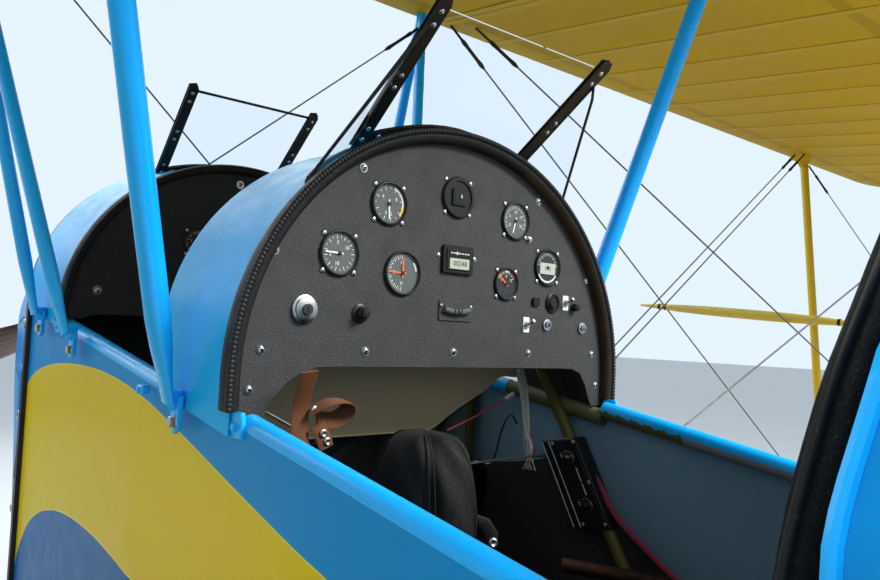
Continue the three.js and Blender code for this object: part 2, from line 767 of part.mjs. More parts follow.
// A flat tail surface from an outline of [across, aft], or of [height, aft] where it is upright
const UPRIGHT = new THREE.Matrix4().makeBasis(at(0, 0, 1), at(0, 1, 0), at(-1, 0, 0));
function surface(outline, thickness, upright = false) {
  const shape = new THREE.Shape(outline.map(([a, b]) => new THREE.Vector2(a, b)));
  const geometry = new THREE.ExtrudeGeometry(shape, { depth: thickness, bevelEnabled: false });
  geometry.translate(0, 0, -thickness / 2);
  if (upright) geometry.applyMatrix4(UPRIGHT);
  return solid(geometry);
}

const STABILIZER_HALF = 1290;
const HINGE_AFT = -60; // elevator hinge, ahead of the stern post
const RISE = 24; // mid-plane of the stabilizer over the longeron
const TAIL_THICK = 46;
const HINGE_GAP = 12;
const stabilizerOutline = [
  [0, -760],
  [420, -745],
  [860, -640],
  [1150, -470],
  [STABILIZER_HALF - 10, -300],
  [STABILIZER_HALF, HINGE_AFT - HINGE_GAP],
];
const mirrored = (outline) => outline.map(([a, b]) => [-a, b]).reverse();
const stabilizer = surface(
  [...stabilizerOutline, ...mirrored(stabilizerOutline).slice(0, -1)],
  TAIL_THICK,
).translate([0, 0, RISE]);
node("stabilizer", stabilizer, BLUE, tail);

const ELEVATOR = [
  [75, HINGE_AFT],
  [STABILIZER_HALF, HINGE_AFT],
  [STABILIZER_HALF - 30, 190],
  [1080, 330],
  [700, 395],
  [330, 400],
];
const elevatorHalf = surface(ELEVATOR, 30).translate([0, 0, RISE]);
const torqueAft = HINGE_AFT + 14;
const torqueTube = rod(at(-80, torqueAft, RISE), at(80, torqueAft, RISE), 11);
const torqueBoss = rod(at(-24, torqueAft, RISE), at(24, torqueAft, RISE), RISE - GAP, 16);
const elevator = join(elevatorHalf, elevatorHalf.mirror([1, 0, 0]), torqueTube, torqueBoss);
node("elevator", elevator, BLUE, tail);

const FIN = [
  // height over the stabilizer, aft
  [0, -620],
  [330, -360],
  [640, -170],
  [745, -40],
  [745, RUDDER_HINGE - 24],
  [0, RUDDER_HINGE - 24],
];
const finBase = RISE + TAIL_THICK / 2 + GAP;
const finOutline = FIN.map(([h, aft]) => [h + finBase, aft]);
node("fin", cut(
  surface(finOutline, 44, true),
  block(at(-60, HINGE_AFT - HINGE_GAP - 2, finBase - 60), at(60, 80, finBase + 30)),
), BLUE, tail);

const RUDDER = [
  // height over the longeron, aft of the stern post
  [RUDDER_FOOT, RUDDER_HINGE - 10],
  [790, RUDDER_HINGE - 10],
  [885, 120],
  [875, 280],
  [690, 440],
  [350, 490],
  [-10, 440],
  [RUDDER_FOOT, 290],
];
const rudderPin = rod(at(0, RUDDER_HINGE, RUDDER_FOOT + 20), at(0, RUDDER_HINGE, heelTop + GAP), 9);
node("rudder", join(surface(RUDDER, 34, true), rudderPin), BLUE, tail);

// Tail wheel: a leaf spring under the stern, a fork on an upright pin, and its wheel
const TAIL_TYRE = 80;
const TAIL_WHEEL_Y = STERN_Y + 300;
const PIVOT_Y = STERN_Y + 225;
const PIVOT_Z = 235;
const springTop = bellyZ(STERN_Y) - GAP;
const springOutline = [
  [STERN_Y - 420, bellyZ(STERN_Y - 420) - GAP],
  [STERN_Y - 90, bellyZ(STERN_Y - 90) - GAP],
  [PIVOT_Y - 20, PIVOT_Z + 40],
  [PIVOT_Y + 34, PIVOT_Z + 26],
  [PIVOT_Y + 34, PIVOT_Z],
  [PIVOT_Y - 24, PIVOT_Z],
  [STERN_Y - 90, springTop - 34],
  [STERN_Y - 420, bellyZ(STERN_Y - 420) - 22],
];
node("tail_spring", sidePlate(springOutline, -26, 26), STEEL);
const forkTop = PIVOT_Z - GAP;
const tailFork = join(
  rod(at(0, PIVOT_Y + 5, forkTop), at(0, PIVOT_Y + 5, forkTop - 34), 22, 12),
  block(at(-36, PIVOT_Y - 18, forkTop - 44), at(36, TAIL_WHEEL_Y + 10, forkTop - 28)),
  block(at(-36, TAIL_WHEEL_Y - 16, TAIL_TYRE - 16), at(-28, TAIL_WHEEL_Y + 16, forkTop - 30)),
  block(at(28, TAIL_WHEEL_Y - 16, TAIL_TYRE - 16), at(36, TAIL_WHEEL_Y + 16, forkTop - 30)),
  rod(at(-36, TAIL_WHEEL_Y, TAIL_TYRE), at(36, TAIL_WHEEL_Y, TAIL_TYRE), 7, 12),
);
node("tail_wheel_fork", tailFork, STEEL);
const tailTyre = [
  [-20, 7.5],
  [-20, 60],
  [-18, 72],
  [-8, TAIL_TYRE],
  [8, TAIL_TYRE],
  [18, 72],
  [20, 60],
  [20, 7.5],
  [-20, 7.5],
];
node("tail_wheel", moved(turned(tailTyre, 24), at(0, TAIL_WHEEL_Y, TAIL_TYRE)), RUBBER);

// The origin is the middle of the whole machine's box, on the floor
const box = new THREE.Box3().setFromObject(group, true);
airframe.position.y = -(box.min.y + box.max.y) / 2;
airframe.position.z = -box.min.z;

export default group;
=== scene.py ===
"""Visual model of a light two-seat biplane, built over its CAD frame. Metres."""
from math import atan, cos, exp, hypot, pi, radians, sin, sqrt, tan

import bmesh
import bpy
from mathutils import Matrix, Vector


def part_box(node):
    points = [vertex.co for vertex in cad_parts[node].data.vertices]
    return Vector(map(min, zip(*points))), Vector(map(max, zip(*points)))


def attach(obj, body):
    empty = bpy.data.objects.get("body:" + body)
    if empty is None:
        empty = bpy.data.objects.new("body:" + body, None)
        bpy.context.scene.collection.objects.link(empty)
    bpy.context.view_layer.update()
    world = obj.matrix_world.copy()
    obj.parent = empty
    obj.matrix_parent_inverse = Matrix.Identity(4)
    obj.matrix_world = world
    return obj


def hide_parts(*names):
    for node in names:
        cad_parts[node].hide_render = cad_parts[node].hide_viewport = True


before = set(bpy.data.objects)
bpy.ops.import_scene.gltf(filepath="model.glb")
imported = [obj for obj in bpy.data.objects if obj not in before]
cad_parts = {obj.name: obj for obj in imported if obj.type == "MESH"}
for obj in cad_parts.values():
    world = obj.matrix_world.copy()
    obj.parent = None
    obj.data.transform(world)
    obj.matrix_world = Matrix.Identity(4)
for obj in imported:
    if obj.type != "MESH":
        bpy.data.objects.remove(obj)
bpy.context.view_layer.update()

# Camera
# The photograph is taken beside the rear cockpit, at the height of the panel's middle.
# Places on the aircraft are given from the rear panel: x to port, y aft, z over its foot.
panel_low, panel_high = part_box("rear_instrument_panel")
PANEL_Y = (panel_low.y + panel_high.y) / 2
RAIL_Z = panel_low.z - 0.001


def spot(x, y, z):
    """A place on the aircraft, given from the rear panel."""
    return Vector((x, PANEL_Y + y, RAIL_Z + z))


def place_at(x, y, z):
    """A frame at such a place: x to port, y aft, z up."""
    return Matrix.Translation(spot(x, y, z))


def axes(one, two, three):
    """A turn that takes x, y and z to three directions."""
    return Matrix((one, two, three)).transposed().to_4x4()


camera_data = bpy.data.cameras.new("camera")
camera_data.lens = 32.73
camera_data.sensor_width = 36
camera = bpy.data.objects.new("camera", camera_data)
bpy.context.scene.collection.objects.link(camera)
bpy.context.scene.camera = camera
camera_right = Vector((-0.756, 0.6531, 0.0449)).normalized()
camera_back = camera_right.cross(Vector((0.0692, 0.0115, 0.9975))).normalized()
camera_up = camera_back.cross(camera_right)
camera.matrix_world = place_at(0.768, 0.857, 0.112) @ axes(
    camera_right, camera_up, camera_back
)

# Floor
# A plain sheet of pale matt paint, laid flat under the wheels.
# It is large enough that its edge is never seen.
FLOOR_HALF = 60


def sockets(node):
    """A shader node's inputs by name; of two with one name, the first that is in use."""
    found = {}
    for socket in node.inputs:
        if socket.enabled and socket.name not in found:
            found[socket.name] = socket
    return found


def wire(tree, kind, inputs=None, **settings):
    """A new shader node with its settings; inputs are values or other nodes' outputs."""
    node = tree.nodes.new("ShaderNode" + kind)
    for key, value in settings.items():
        setattr(node, key, value)
    named = sockets(node)
    for key, value in (inputs or {}).items():
        socket = node.inputs[key] if isinstance(key, int) else named[key]
        if isinstance(value, bpy.types.NodeSocket):
            tree.links.new(value, socket)
        else:
            socket.default_value = value
    return node


def linear(red, green, blue):
    """An sRGB colour of 0 to 255 as linear RGBA."""
    def channel(value):
        share = value / 255
        return share / 12.92 if share <= 0.04045 else ((share + 0.055) / 1.055) ** 2.4

    return (channel(red), channel(green), channel(blue), 1.0)


def material(name, **values):
    """A material with a Principled BSDF; returns it, its node tree and the shader."""
    made = bpy.data.materials.new(name)
    made.use_nodes = True
    tree = made.node_tree
    shader = tree.nodes["Principled BSDF"]
    for key, value in values.items():
        shader.inputs[key.replace("_", " ")].default_value = value
    return made, tree, shader


def circle(radius, steps, phase=0.0):
    """Points (x, y) at even steps round a circle."""
    return [
        (radius * cos(2 * pi * (k + phase) / steps), radius * sin(2 * pi * (k + phase) / steps))
        for k in range(steps)
    ]


class Form:
    """Gathers points and faces, each with its material's number, into one mesh."""

    def __init__(self):
        self.points = []
        self.faces = []
        self.numbers = []

    def add(self, points, faces, number=0):
        first = len(self.points)
        self.points.extend(Vector(p) for p in points)
        self.faces.extend([first + i for i in face] for face in faces)
        self.numbers.extend([number] * len(faces))

    def rows(self, rows, number=0, ring=False, caps=False):
        """A skin over rows of like points; a ring's rows close on themselves."""
        count = len(rows[0])
        faces = []
        for i in range(len(rows) - 1):
            for j in range(count if ring else count - 1):
                a, b = i * count + j, i * count + (j + 1) % count
                faces.append((a, b, b + count, a + count))
        if caps:
            faces.append(tuple(reversed(range(count))))
            faces.append(tuple(range((len(rows) - 1) * count, len(rows) * count)))
        self.add([p for row in rows for p in row], faces, number)

    def tube(self, path, radius, number=0, sides=12, caps=True, flatten=None, up=None):
        """A bar along a path. radius and flatten (height over width) may go point by point."""
        path = [Vector(p) for p in path]
        last = len(path) - 1
        radii = radius if isinstance(radius, (list, tuple)) else [radius] * len(path)
        flats = flatten if isinstance(flatten, (list, tuple)) else [flatten or 1] * len(path)
        ways = [(path[min(i + 1, last)] - path[max(i - 1, 0)]).normalized() for i in range(last + 1)]
        side = Vector(up or (0, 0, 1))
        if abs(side.normalized().dot(ways[0])) > 0.98:
            side = Vector((0, 1, 0))
        rows = []
        for point, way, size, flat in zip(path, ways, radii, flats):
            side = (side - way * side.dot(way)).normalized()
            across = way.cross(side)
            rows.append([
                point + size * (flat * c * side + s * across) for c, s in circle(1, sides)
            ])
        self.rows(rows, number, ring=True, caps=caps)

    def lathe(self, profile, place, number=0, sides=24, closed=False):
        """A turned body about the place's z axis; profile points are (radius, height)."""
        rows = [
            [place @ Vector((x, y, height)) for x, y in circle(radius, sides)]
            for radius, height in (profile + profile[:1] if closed else profile)
        ]
        self.rows(rows, number, ring=True, caps=not closed)

    def plate(self, outline, thickness, place, number=0, bevel=0.0):
        """A plate of an outline of (u, v), its thickness along the place's z axis."""
        def ring(inset, height):
            moved = []
            for i, here in enumerate(outline):
                before = Vector(outline[i - 1])
                after = Vector(outline[(i + 1) % len(outline)])
                here = Vector(here)
                one = (here - before).normalized()
                two = (after - here).normalized()
                inward = Vector((-one.y - two.y, one.x + two.x))
                grow = inset * 2 / max(inward.length_squared, 0.5)
                point = here + inward * grow
                moved.append(place @ Vector((point.x, point.y, height)))
            return moved

        if bevel:
            rows = [ring(bevel, 0), ring(0, bevel), ring(0, thickness - bevel), ring(bevel, thickness)]
        else:
            rows = [ring(0, 0), ring(0, thickness)]
        self.rows(rows, number, ring=True, caps=True)

    def build(self, name, *materials, body="root", smooth=32, slot=None):
        mesh = bpy.data.meshes.new(name)
        mesh.from_pydata([tuple(p) for p in self.points], [], self.faces)
        for made in materials:
            mesh.materials.append(made)
        mesh.polygons.foreach_set("material_index", self.numbers)
        mesh.validate()
        mesh.shade_smooth()
        mesh.set_sharp_from_angle(angle=radians(smooth))
        mesh.update()
        made = bpy.data.objects.new(name, mesh)
        bpy.context.scene.collection.objects.link(made)
        if body:
            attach(made, body)
        return made


def noise(tree, scale, detail=3, rough=0.5, stretch=None):
    """A noise value at the object's own coordinates, stretched along an axis if asked."""
    place = wire(tree, "TexCoord").outputs["Object"]
    if stretch:
        place = wire(tree, "Mapping", {"Vector": place, "Scale": stretch}).outputs[0]
    return wire(
        tree, "TexNoise", {"Vector": place, "Scale": scale, "Detail": detail, "Roughness": rough}
    ).outputs["Fac"]


def spread(tree, value, low, high, start=0.3, end=0.7):
    """A value of start to end, mapped to low to high."""
    return wire(
        tree,
        "MapRange",
        {"Value": value, "From Min": start, "From Max": end, "To Min": low, "To Max": high},
    ).outputs["Result"]


def mixed(tree, share, one, two):
    return wire(tree, "Mix", {"Factor": share, "A": one, "B": two}, data_type="RGBA").outputs[2]


def bump(tree, shader, height, distance, strength=1.0):
    made = wire(tree, "Bump", {"Height": height, "Distance": distance, "Strength": strength})
    tree.links.new(made.outputs["Normal"], shader.inputs["Normal"])


floor_paint, tree, shader = material("floor_paint", Roughness=0.75)
shade = mixed(tree, noise(tree, 0.7), linear(190, 192, 192), linear(184, 185, 186))
tree.links.new(shade, shader.inputs["Base Color"])
floor = Form()
floor.add(
    [(x * FLOOR_HALF, y * FLOOR_HALF, -0.001) for x, y in ((-1, -1), (1, -1), (1, 1), (-1, 1))],
    [(0, 1, 2, 3)],
)
floor = floor.build("floor", floor_paint, body=None)

# Lights
# Three square soft lamps, set over the starboard quarter, ahead and above.
# Pale even air lights the rest.
world = bpy.data.worlds.new("air")
world.use_nodes = True
sky = world.node_tree.nodes["Background"]
sky.inputs["Color"].default_value = linear(212, 226, 238)
sky.inputs["Strength"].default_value = 1.2
bpy.context.scene.world = world
bpy.context.scene.view_settings.view_transform = "Standard"
for name, place, size, power, tint in (
    ("key_light", (-2.4, 3.4, 3.6), 2.0, 560, (1.0, 0.98, 0.95)),
    ("front_light", (0.5, -6.0, 5.0), 8.0, 380, (0.95, 0.98, 1.0)),
    ("over_light", (1.2, -0.3, 7.0), 4.0, 420, (1.0, 1.0, 1.0)),
):
    data = bpy.data.lights.new(name, "AREA")
    data.size = size
    data.energy = power
    data.color = tint
    lamp = bpy.data.objects.new(name, data)
    lamp.location = spot(*place)
    lamp.rotation_euler = (spot(0, 0, 0) - lamp.location).to_track_quat("-Z", "Y").to_euler()
    lamp.visible_transmission = False
    bpy.context.scene.collection.objects.link(lamp)

# Fuselage sides
# Painted polyester fabric, shrunk over a welded steel frame, with a yellow sweep.
# It is bare grey-blue cloth inside the cockpits, where the frame's tubes show.
HALF = 0.34
SKIRT = 0.3483
FIREWALL = -0.885
BULKHEAD = 0.672
STERN = 4.35
RAIL_RADIUS = 0.014
RAIL_RISE = 0.014  # the open cockpit's edge over the line under the deck
SWEEP_TOP = [
    # y aft of the panel, z over its foot
    (-1.02, -0.3), (-0.96, -0.13), (-0.91, -0.059), (-0.862, -0.012), (-0.77, 0.015),
    (-0.668, 0.026), (-0.529, 0.029), (-0.407, 0.022), (-0.278, 0.002), (-0.166, -0.026),
    (0.062, -0.089), (0.21, -0.126), (0.72, -0.235), (2.0, -0.42), (4.2, -0.66),
]
SWEEP_FOOT = [
    (-1.02, -0.32), (-0.96, -0.62), (-0.91, -0.44), (-0.851, -0.318), (-0.79, -0.266),
    (-0.698, -0.235), (-0.609, -0.224), (-0.474, -0.226), (-0.4, -0.233), (-0.2, -0.262),
    (0.2, -0.34), (0.72, -0.43), (2.0, -0.6), (4.2, -0.8),
]
SWEEP_FROM, SWEEP_TO = -1.1, 4.5
SWEEP_RIM = 0.0022
SIDES = (("port", 1), ("starboard", -1))


def rail(y):
    """Height of the top longeron's line."""
    return -tan(radians(9)) * y


def floor_line(y):
    """Height of the fuselage's underside."""
    return -0.718 - (0.1 if y < 0 else 0.045) * y


def maths(tree, operation, one, two=None):
    """A Math node's result; one and two are numbers or other nodes' outputs."""
    inputs = {0: one} if two is None else {0: one, 1: two}
    return wire(tree, "Math", inputs, operation=operation).outputs[0]


def sweep_group():
    """Masks of the yellow sweep and of its thin border, by place on the fuselage."""
    group = bpy.data.node_groups.new("sweep", "ShaderNodeTree")
    for name in ("Sweep", "Border"):
        group.interface.new_socket(name, in_out="OUTPUT", socket_type="NodeSocketFloat")
    out = group.nodes.new("NodeGroupOutput")
    place = wire(group, "SeparateXYZ", {0: wire(group, "TexCoord").outputs["Object"]})
    along = wire(
        group,
        "MapRange",
        {
            "Value": place.outputs["Y"],
            "From Min": PANEL_Y + SWEEP_FROM,
            "From Max": PANEL_Y + SWEEP_TO,
        },
    ).outputs["Result"]

    def side(table):
        """How far a point is over the line of the table, in metres."""
        node = wire(group, "FloatCurve", {"Value": along})
        curve = node.mapping.curves[0]
        for i, (y, z) in enumerate(table):
            x = (y - SWEEP_FROM) / (SWEEP_TO - SWEEP_FROM)
            if i < 2:
                curve.points[i].location = (x, z + 1)
            else:
                curve.points.new(x, z + 1)
        node.mapping.use_clip = False
        node.mapping.update()
        line = maths(group, "ADD", node.outputs[0], RAIL_Z - 1)
        return maths(group, "SUBTRACT", place.outputs["Z"], line)

    over_top, over_foot = side(SWEEP_TOP), side(SWEEP_FOOT)
    start = maths(group, "SUBTRACT", place.outputs["Y"], PANEL_Y + SWEEP_TOP[0][0])

    def inside(margin):
        under = maths(group, "LESS_THAN", over_top, margin)
        above = maths(group, "GREATER_THAN", over_foot, -margin)
        aft = maths(group, "GREATER_THAN", start, -margin)
        return maths(group, "MULTIPLY", maths(group, "MULTIPLY", under, above), aft)

    yellow = inside(0.0)
    rim = maths(group, "SUBTRACT", inside(SWEEP_RIM), yellow)
    group.links.new(yellow, out.inputs["Sweep"])
    group.links.new(rim, out.inputs["Border"])
    return group


def dust_group():
    """Even fading, dust and small scuffs over a paint's colour and roughness."""
    group = bpy.data.node_groups.new("dust", "ShaderNodeTree")
    for way in ("INPUT", "OUTPUT"):
        for name, kind in (("Color", "NodeSocketColor"), ("Roughness", "NodeSocketFloat")):
            group.interface.new_socket(name, in_out=way, socket_type=kind)
    given = group.nodes.new("NodeGroupInput")
    out = group.nodes.new("NodeGroupOutput")
    broad = spread(group, noise(group, 2.3, 4), 0.0, 0.012)
    faded = mixed(group, broad, given.outputs["Color"], linear(215, 222, 226))
    spots = spread(group, noise(group, 240, 2), 0.0, 0.5, 0.66, 0.72)
    marked = mixed(group, spots, faded, mixed(group, 0.35, faded, linear(96, 92, 84)))
    uneven = spread(group, noise(group, 31, 5), -0.03, 0.08)
    rough = maths(group, "ADD", given.outputs["Roughness"], uneven)
    group.links.new(marked, out.inputs["Color"])
    group.links.new(rough, out.inputs["Roughness"])
    return group


sweep = sweep_group()
dust = dust_group()


def worn(tree, shader, colour, roughness):
    """Feeds the shader a colour and roughness with dust and fading over them."""
    node = wire(tree, "Group", node_tree=dust)
    for name, value in (("Color", colour), ("Roughness", roughness)):
        if isinstance(value, bpy.types.NodeSocket):
            tree.links.new(value, node.inputs[name])
        else:
            node.inputs[name].default_value = value
    tree.links.new(node.outputs["Color"], shader.inputs["Base Color"])
    tree.links.new(node.outputs["Roughness"], shader.inputs["Roughness"])


def weave_height(tree, pitch):
    """Threads of a plain weave, by the object's coordinates."""
    place = wire(tree, "TexCoord").outputs["Object"]
    waves = [
        wire(
            tree,
            "TexWave",
            {"Vector": place, "Scale": 1 / pitch / 6.28, "Distortion": 0.4, "Detail": 1.0},
            bands_direction=way,
        ).outputs["Fac"]
        for way in ("Y", "Z")
    ]
    return maths(tree, "MULTIPLY", waves[0], waves[1])


SIDE_BLUE = linear(0, 134, 206)
SWEEP_YELLOW = linear(208, 186, 0)
SWEEP_BORDER = linear(214, 204, 50)
LOW_BLUE = linear(20, 96, 158)


def side_paint(name):
    made, tree, shader = material(
        name, Coat_Weight=0.03, Coat_Roughness=0.06, Specular_IOR_Level=0.08
    )
    marks = wire(tree, "Group", node_tree=sweep)
    height = wire(tree, "SeparateXYZ", {0: wire(tree, "TexCoord").outputs["Object"]}).outputs["Z"]
    lower = spread(tree, height, 1.0, 0.0, RAIL_Z - 0.21, RAIL_Z - 0.195)
    base = mixed(tree, lower, SIDE_BLUE, LOW_BLUE)
    base = mixed(tree, marks.outputs["Border"], base, SWEEP_BORDER)
    base = mixed(tree, marks.outputs["Sweep"], base, SWEEP_YELLOW)
    worn(tree, shader, base, 0.34)
    bump(tree, shader, weave_height(tree, 0.0016), 0.00012, 0.35)
    return made


def dimmed(colour, share):
    """A colour made darker by a share."""
    return tuple(c * share for c in colour[:3]) + (1.0,)


def cloth(name, colour, pitch, roughness=0.85, sheen=0.2):
    """Bare woven cloth, its threads a little uneven in colour."""
    made, tree, shader = material(name, Sheen_Weight=sheen)
    threads = weave_height(tree, pitch)
    dark = dimmed(colour, 0.9)
    base = mixed(tree, spread(tree, threads, 0.0, 1.0, 0.1, 0.8), dark, colour)
    base = mixed(tree, spread(tree, noise(tree, 14, 4), 0.0, 0.35), base, dark)
    worn(tree, shader, base, roughness)
    bump(tree, shader, threads, 0.0002, 0.4)
    return made


def enamel(name, colour, roughness=0.25, coat=0.6, specular=0.2):
    """Sprayed gloss paint, with a faint orange-peel surface."""
    made, tree, shader = material(
        name, Coat_Weight=coat * 0.3, Coat_Roughness=0.08, Specular_IOR_Level=specular
    )
    worn(tree, shader, colour, roughness)
    bump(tree, shader, noise(tree, 180, 2), 0.0004, 0.12)
    return made


def metal(name, colour, roughness, scale=(1, 1, 1), grain=90):
    """Bare metal with drawn or brushed lines."""
    made, tree, shader = material(name, Metallic=1.0)
    lines = noise(tree, grain, 4, 0.6, stretch=scale)
    base = mixed(tree, spread(tree, lines, 0, 1), colour, dimmed(colour, 0.7))
    tree.links.new(base, shader.inputs["Base Color"])
    rough = spread(tree, lines, roughness - 0.05, roughness + 0.12)
    tree.links.new(rough, shader.inputs["Roughness"])
    bump(tree, shader, lines, 0.0003, 0.15)
    return made


painted_side = side_paint("painted_side")
inner_cloth = cloth("inner_cloth", linear(106, 140, 164), 0.0011)
frame_blue = enamel("frame_blue", linear(0, 170, 252))
frame_olive = enamel("frame_olive", linear(84, 88, 52), 0.5, 0.1)
steel = metal("steel", linear(186, 188, 190), 0.28)
dark_steel = metal("dark_steel", linear(74, 75, 78), 0.42)
alloy = metal("alloy", linear(190, 192, 194), 0.34, (1, 1, 14))
black_steel = enamel("black_steel", linear(20, 20, 21), 0.45, 0.15)

DOME = [(0.0, 1.0), (0.35, 0.94), (0.68, 0.76), (0.9, 0.45), (1.0, 0.1), (1.0, 0.0)]


def facing(place, way, turn=0.0):
    """A place whose z axis looks along way."""
    turned = Vector(way).to_track_quat("Z", "Y").to_matrix().to_4x4()
    return Matrix.Translation(place) @ turned @ Matrix.Rotation(turn, 4, "Z")


def screw(form, place, way, radius, number=0, socket_shade_number=None, rise=0.45):
    """A dome-headed screw; a hexagon socket in its head takes the material number given for it, a darker
    one as painted shade in the recess.
    """
    at = facing(place, way)
    profile = [(radius * r, radius * rise * h) for r, h in DOME]
    if socket_shade_number is None:
        form.lathe(profile, at, number, 14)
        return
    inner = radius * 0.42
    form.lathe([(inner, radius * rise * 0.9)] + profile[2:], at, number, 14)
    form.lathe([(0.0002, radius * 0.1), (inner, radius * 0.1)], at, socket_shade_number, 6)
    form.lathe([(inner, radius * 0.1), (inner, radius * rise * 0.9)], at, socket_shade_number, 6)


def bolt(form, place, way, size, number=0):
    """A hexagon bolt head on its washer."""
    at = facing(place, way)
    for profile, sides in (
        ([(0.0001, 0.12 * size), (1.25 * size, 0.12 * size), (1.3 * size, 0.0)], 18),
        ([(0.0001, 0.8 * size), (0.86 * size, 0.8 * size), (size, 0.66 * size), (size, 0.1 * size)], 6),
    ):
        form.lathe(profile, at, number, sides)


FRAME_STATIONS = (-0.87, -0.3, 0.16, 0.655)
FABRIC_PULL = 0.004


def pull(y, share):
    """How far the cloth is drawn in at a place between two stations of the frame."""
    for one, two in zip(FRAME_STATIONS, FRAME_STATIONS[1:]):
        if one <= y <= two:
            along = (y - one) / (two - one)
            return FABRIC_PULL * sin(pi * along) ** 0.7 * sin(pi * share) ** 0.7
    return 0.0


def side_skin(sign):
    """The outer cloth, drawn in a little between the frame's tubes."""
    form = Form()
    columns, lines = 56, 18
    for inset, number in ((0.0, 0), (0.0035, 1)):
        rows = []
        for i in range(columns + 1):
            y = FIREWALL + (BULKHEAD - FIREWALL) * i / columns
            rise = RAIL_RISE if y > 0.012 else 0.0
            low, high = floor_line(y), rail(y) + rise - RAIL_RADIUS * 0.9
            row = []
            for j in range(lines + 1):
                share = j / lines
                x = HALF - 0.0003 - inset - pull(y, share)
                row.append(spot(sign * x, y, low + (high - low) * share))
            rows.append(row)
        form.rows(rows, number)
    return form


def frame_tubes(form, sign, number=0):
    """The tubes of one side: uprights, diagonals and the lower longeron."""
    inner = sign * (HALF - 0.02)
    one, two = FRAME_STATIONS[:2]
    for foot, head, rise, radius in (
        (one, one, 0.01, 0.0095), (two, two, 0.01, 0.0095), (one, two, 0.02, 0.0085),
    ):
        ends = [spot(inner, foot, floor_line(foot) + rise), spot(inner, head, rail(head) - 0.02)]
        form.tube(ends, radius, number)
    stops = (FIREWALL + 0.01, 0, BULKHEAD)
    path = [spot(sign * (HALF - 0.022), y, floor_line(y) + 0.012) for y in stops]
    form.tube(path, 0.0095, number)


rail_tape = enamel("rail_tape", linear(132, 134, 136), 0.6, 0.1)
for side, sign in SIDES:
    skin = side_skin(sign)
    skin = skin.build("side_skin_" + side, painted_side, inner_cloth, slot="blue_fabric")
    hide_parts("side_wall_" + side)
    tubes = Form()
    frame_tubes(tubes, sign)
    tubes.build("frame_tubes_" + side, frame_olive)

    # the top longeron is painted with the outside where it is the cockpit's edge
    rails = Form()
    for start, end, up in ((-0.7, -0.2, 0.0), (0.022, BULKHEAD - 0.004, RAIL_RISE)):
        count = 24
        path = []
        for i in range(count + 1):
            y = start + (end - start) * i / count
            path.append(spot(sign * (HALF - RAIL_RADIUS), y, rail(y) + up - RAIL_RADIUS))
        rails.tube(path, RAIL_RADIUS, 0, 16)
        if start > 0:
            # inside and under it the blue ends in a ragged edge over olive, then under tape
            for a, b, number in ((0.0, 0.24, 1), (0.24, 0.62, 2)):
                lining = [path[0].lerp(path[-1], a + (b - a) * k / 30) for k in range(31)]
                shell = []
                for k, p in enumerate(lining):
                    ragged = sin(k * 1.9) * sin(k * 0.7) if number == 1 else 0.0
                    edge = 0.05 + 0.25 * ragged
                    turns = [-edge - (2.55 - edge) * i / 10 for i in range(11)]
                    ways = [Vector((-sign * cos(t), 0, sin(t))) for t in turns]
                    shell.append([p + (RAIL_RADIUS + 0.0006) * way for way in ways])
                rails.rows(shell, number)
    for ends in ((-0.88, -0.68), (-0.22, 0.02)):
        hidden = [spot(sign * (HALF - RAIL_RADIUS), y, rail(y) - RAIL_RADIUS) for y in ends]
        rails.tube(hidden, RAIL_RADIUS * 0.96, 1, 12)
    # each aft length starts at a lug, where a bent tab and a bolt hold the deck's foot
    for y, up in ((0.02, RAIL_RISE), (-0.694, 0.0)):
        at = facing(spot(sign * (HALF - 0.002), y, rail(y) + up - 0.012), (sign, 0, 0))
        tab = [(-0.013, -0.016), (0.013, -0.016), (0.016, 0.0), (0.012, 0.014), (-0.012, 0.014),
               (-0.016, 0.0)]
        rails.plate(tab, 0.0065, at, 0, 0.0012)
        bolt(rails, at @ Vector((0.0, -0.003, 0.0065)), (sign, 0, 0), 0.0052, 0)
    rails.build("top_rail_" + side, frame_blue, frame_olive, rail_tape)

# Decks
# Thin glossy sheet, bent over hoops ahead of each cockpit and lapped over the sides.
# The inside is left dark, and each aft edge carries a coaming trim.
REAR_ARCH = (0.05, 0.394)
FRONT_ARCH = (0.002, 0.437)
FIREWALL_ARCH = (0.002, 0.456)
DECK_THICKNESS = 0.0022
deck_blue = enamel("deck_blue", linear(0, 170, 240), 0.26, 0.03, specular=0.07)
# near black: the insides of the decks, cowling and exhaust, and painted shade in the cowling's openings
# and the hubs' vents
black_inside_and_shade = enamel("black_inside_and_shade", linear(30, 27, 25), 0.7, 0.0)


def arch(y, half, shape, inset=0.0, skirt=0.0, steps=48):
    """Points over an arch, from port to starboard, with each point's outward direction."""
    straight, top = shape
    base = rail(y) + straight
    rise = top - base - inset
    wide = half - inset
    found = []
    if skirt:
        found.append((spot(wide, y, rail(y) - skirt), Vector((1, 0, 0))))
    for i in range(steps + 1):
        angle = pi * i / steps
        out = Vector((cos(angle) / wide, 0, sin(angle) / rise)).normalized()
        found.append((spot(wide * cos(angle), y, base + rise * sin(angle)), out))
    if skirt:
        found.append((spot(-wide, y, rail(y) - skirt), Vector((-1, 0, 0))))
    return found


def deck(y0, shape0, y1, shape1):
    """A bent sheet between two arches, dipping a little between its hoops."""
    form = Form()
    spans = 10
    shells = []
    for inset in (0.0, DECK_THICKNESS):
        rows = []
        for i in range(spans + 1):
            share = i / spans
            y = y0 + (y1 - y0) * share
            shape = [a + (b - a) * share for a, b in zip(shape0, shape1)]
            dip = 0.0012 * sin(pi * share)
            rows.append([p for p, _ in arch(y, SKIRT, shape, inset + dip, 0.015)])
        shells.append(rows)
    outer, inner = shells
    form.rows(outer, 0)
    form.rows(inner, 1)
    for row, other in ((outer[0], inner[0]), (outer[-1], inner[-1])):
        form.rows([row, other], 0)
    for end in (0, -1):
        form.rows([[row[end] for row in outer], [row[end] for row in inner]], 0)
    return form


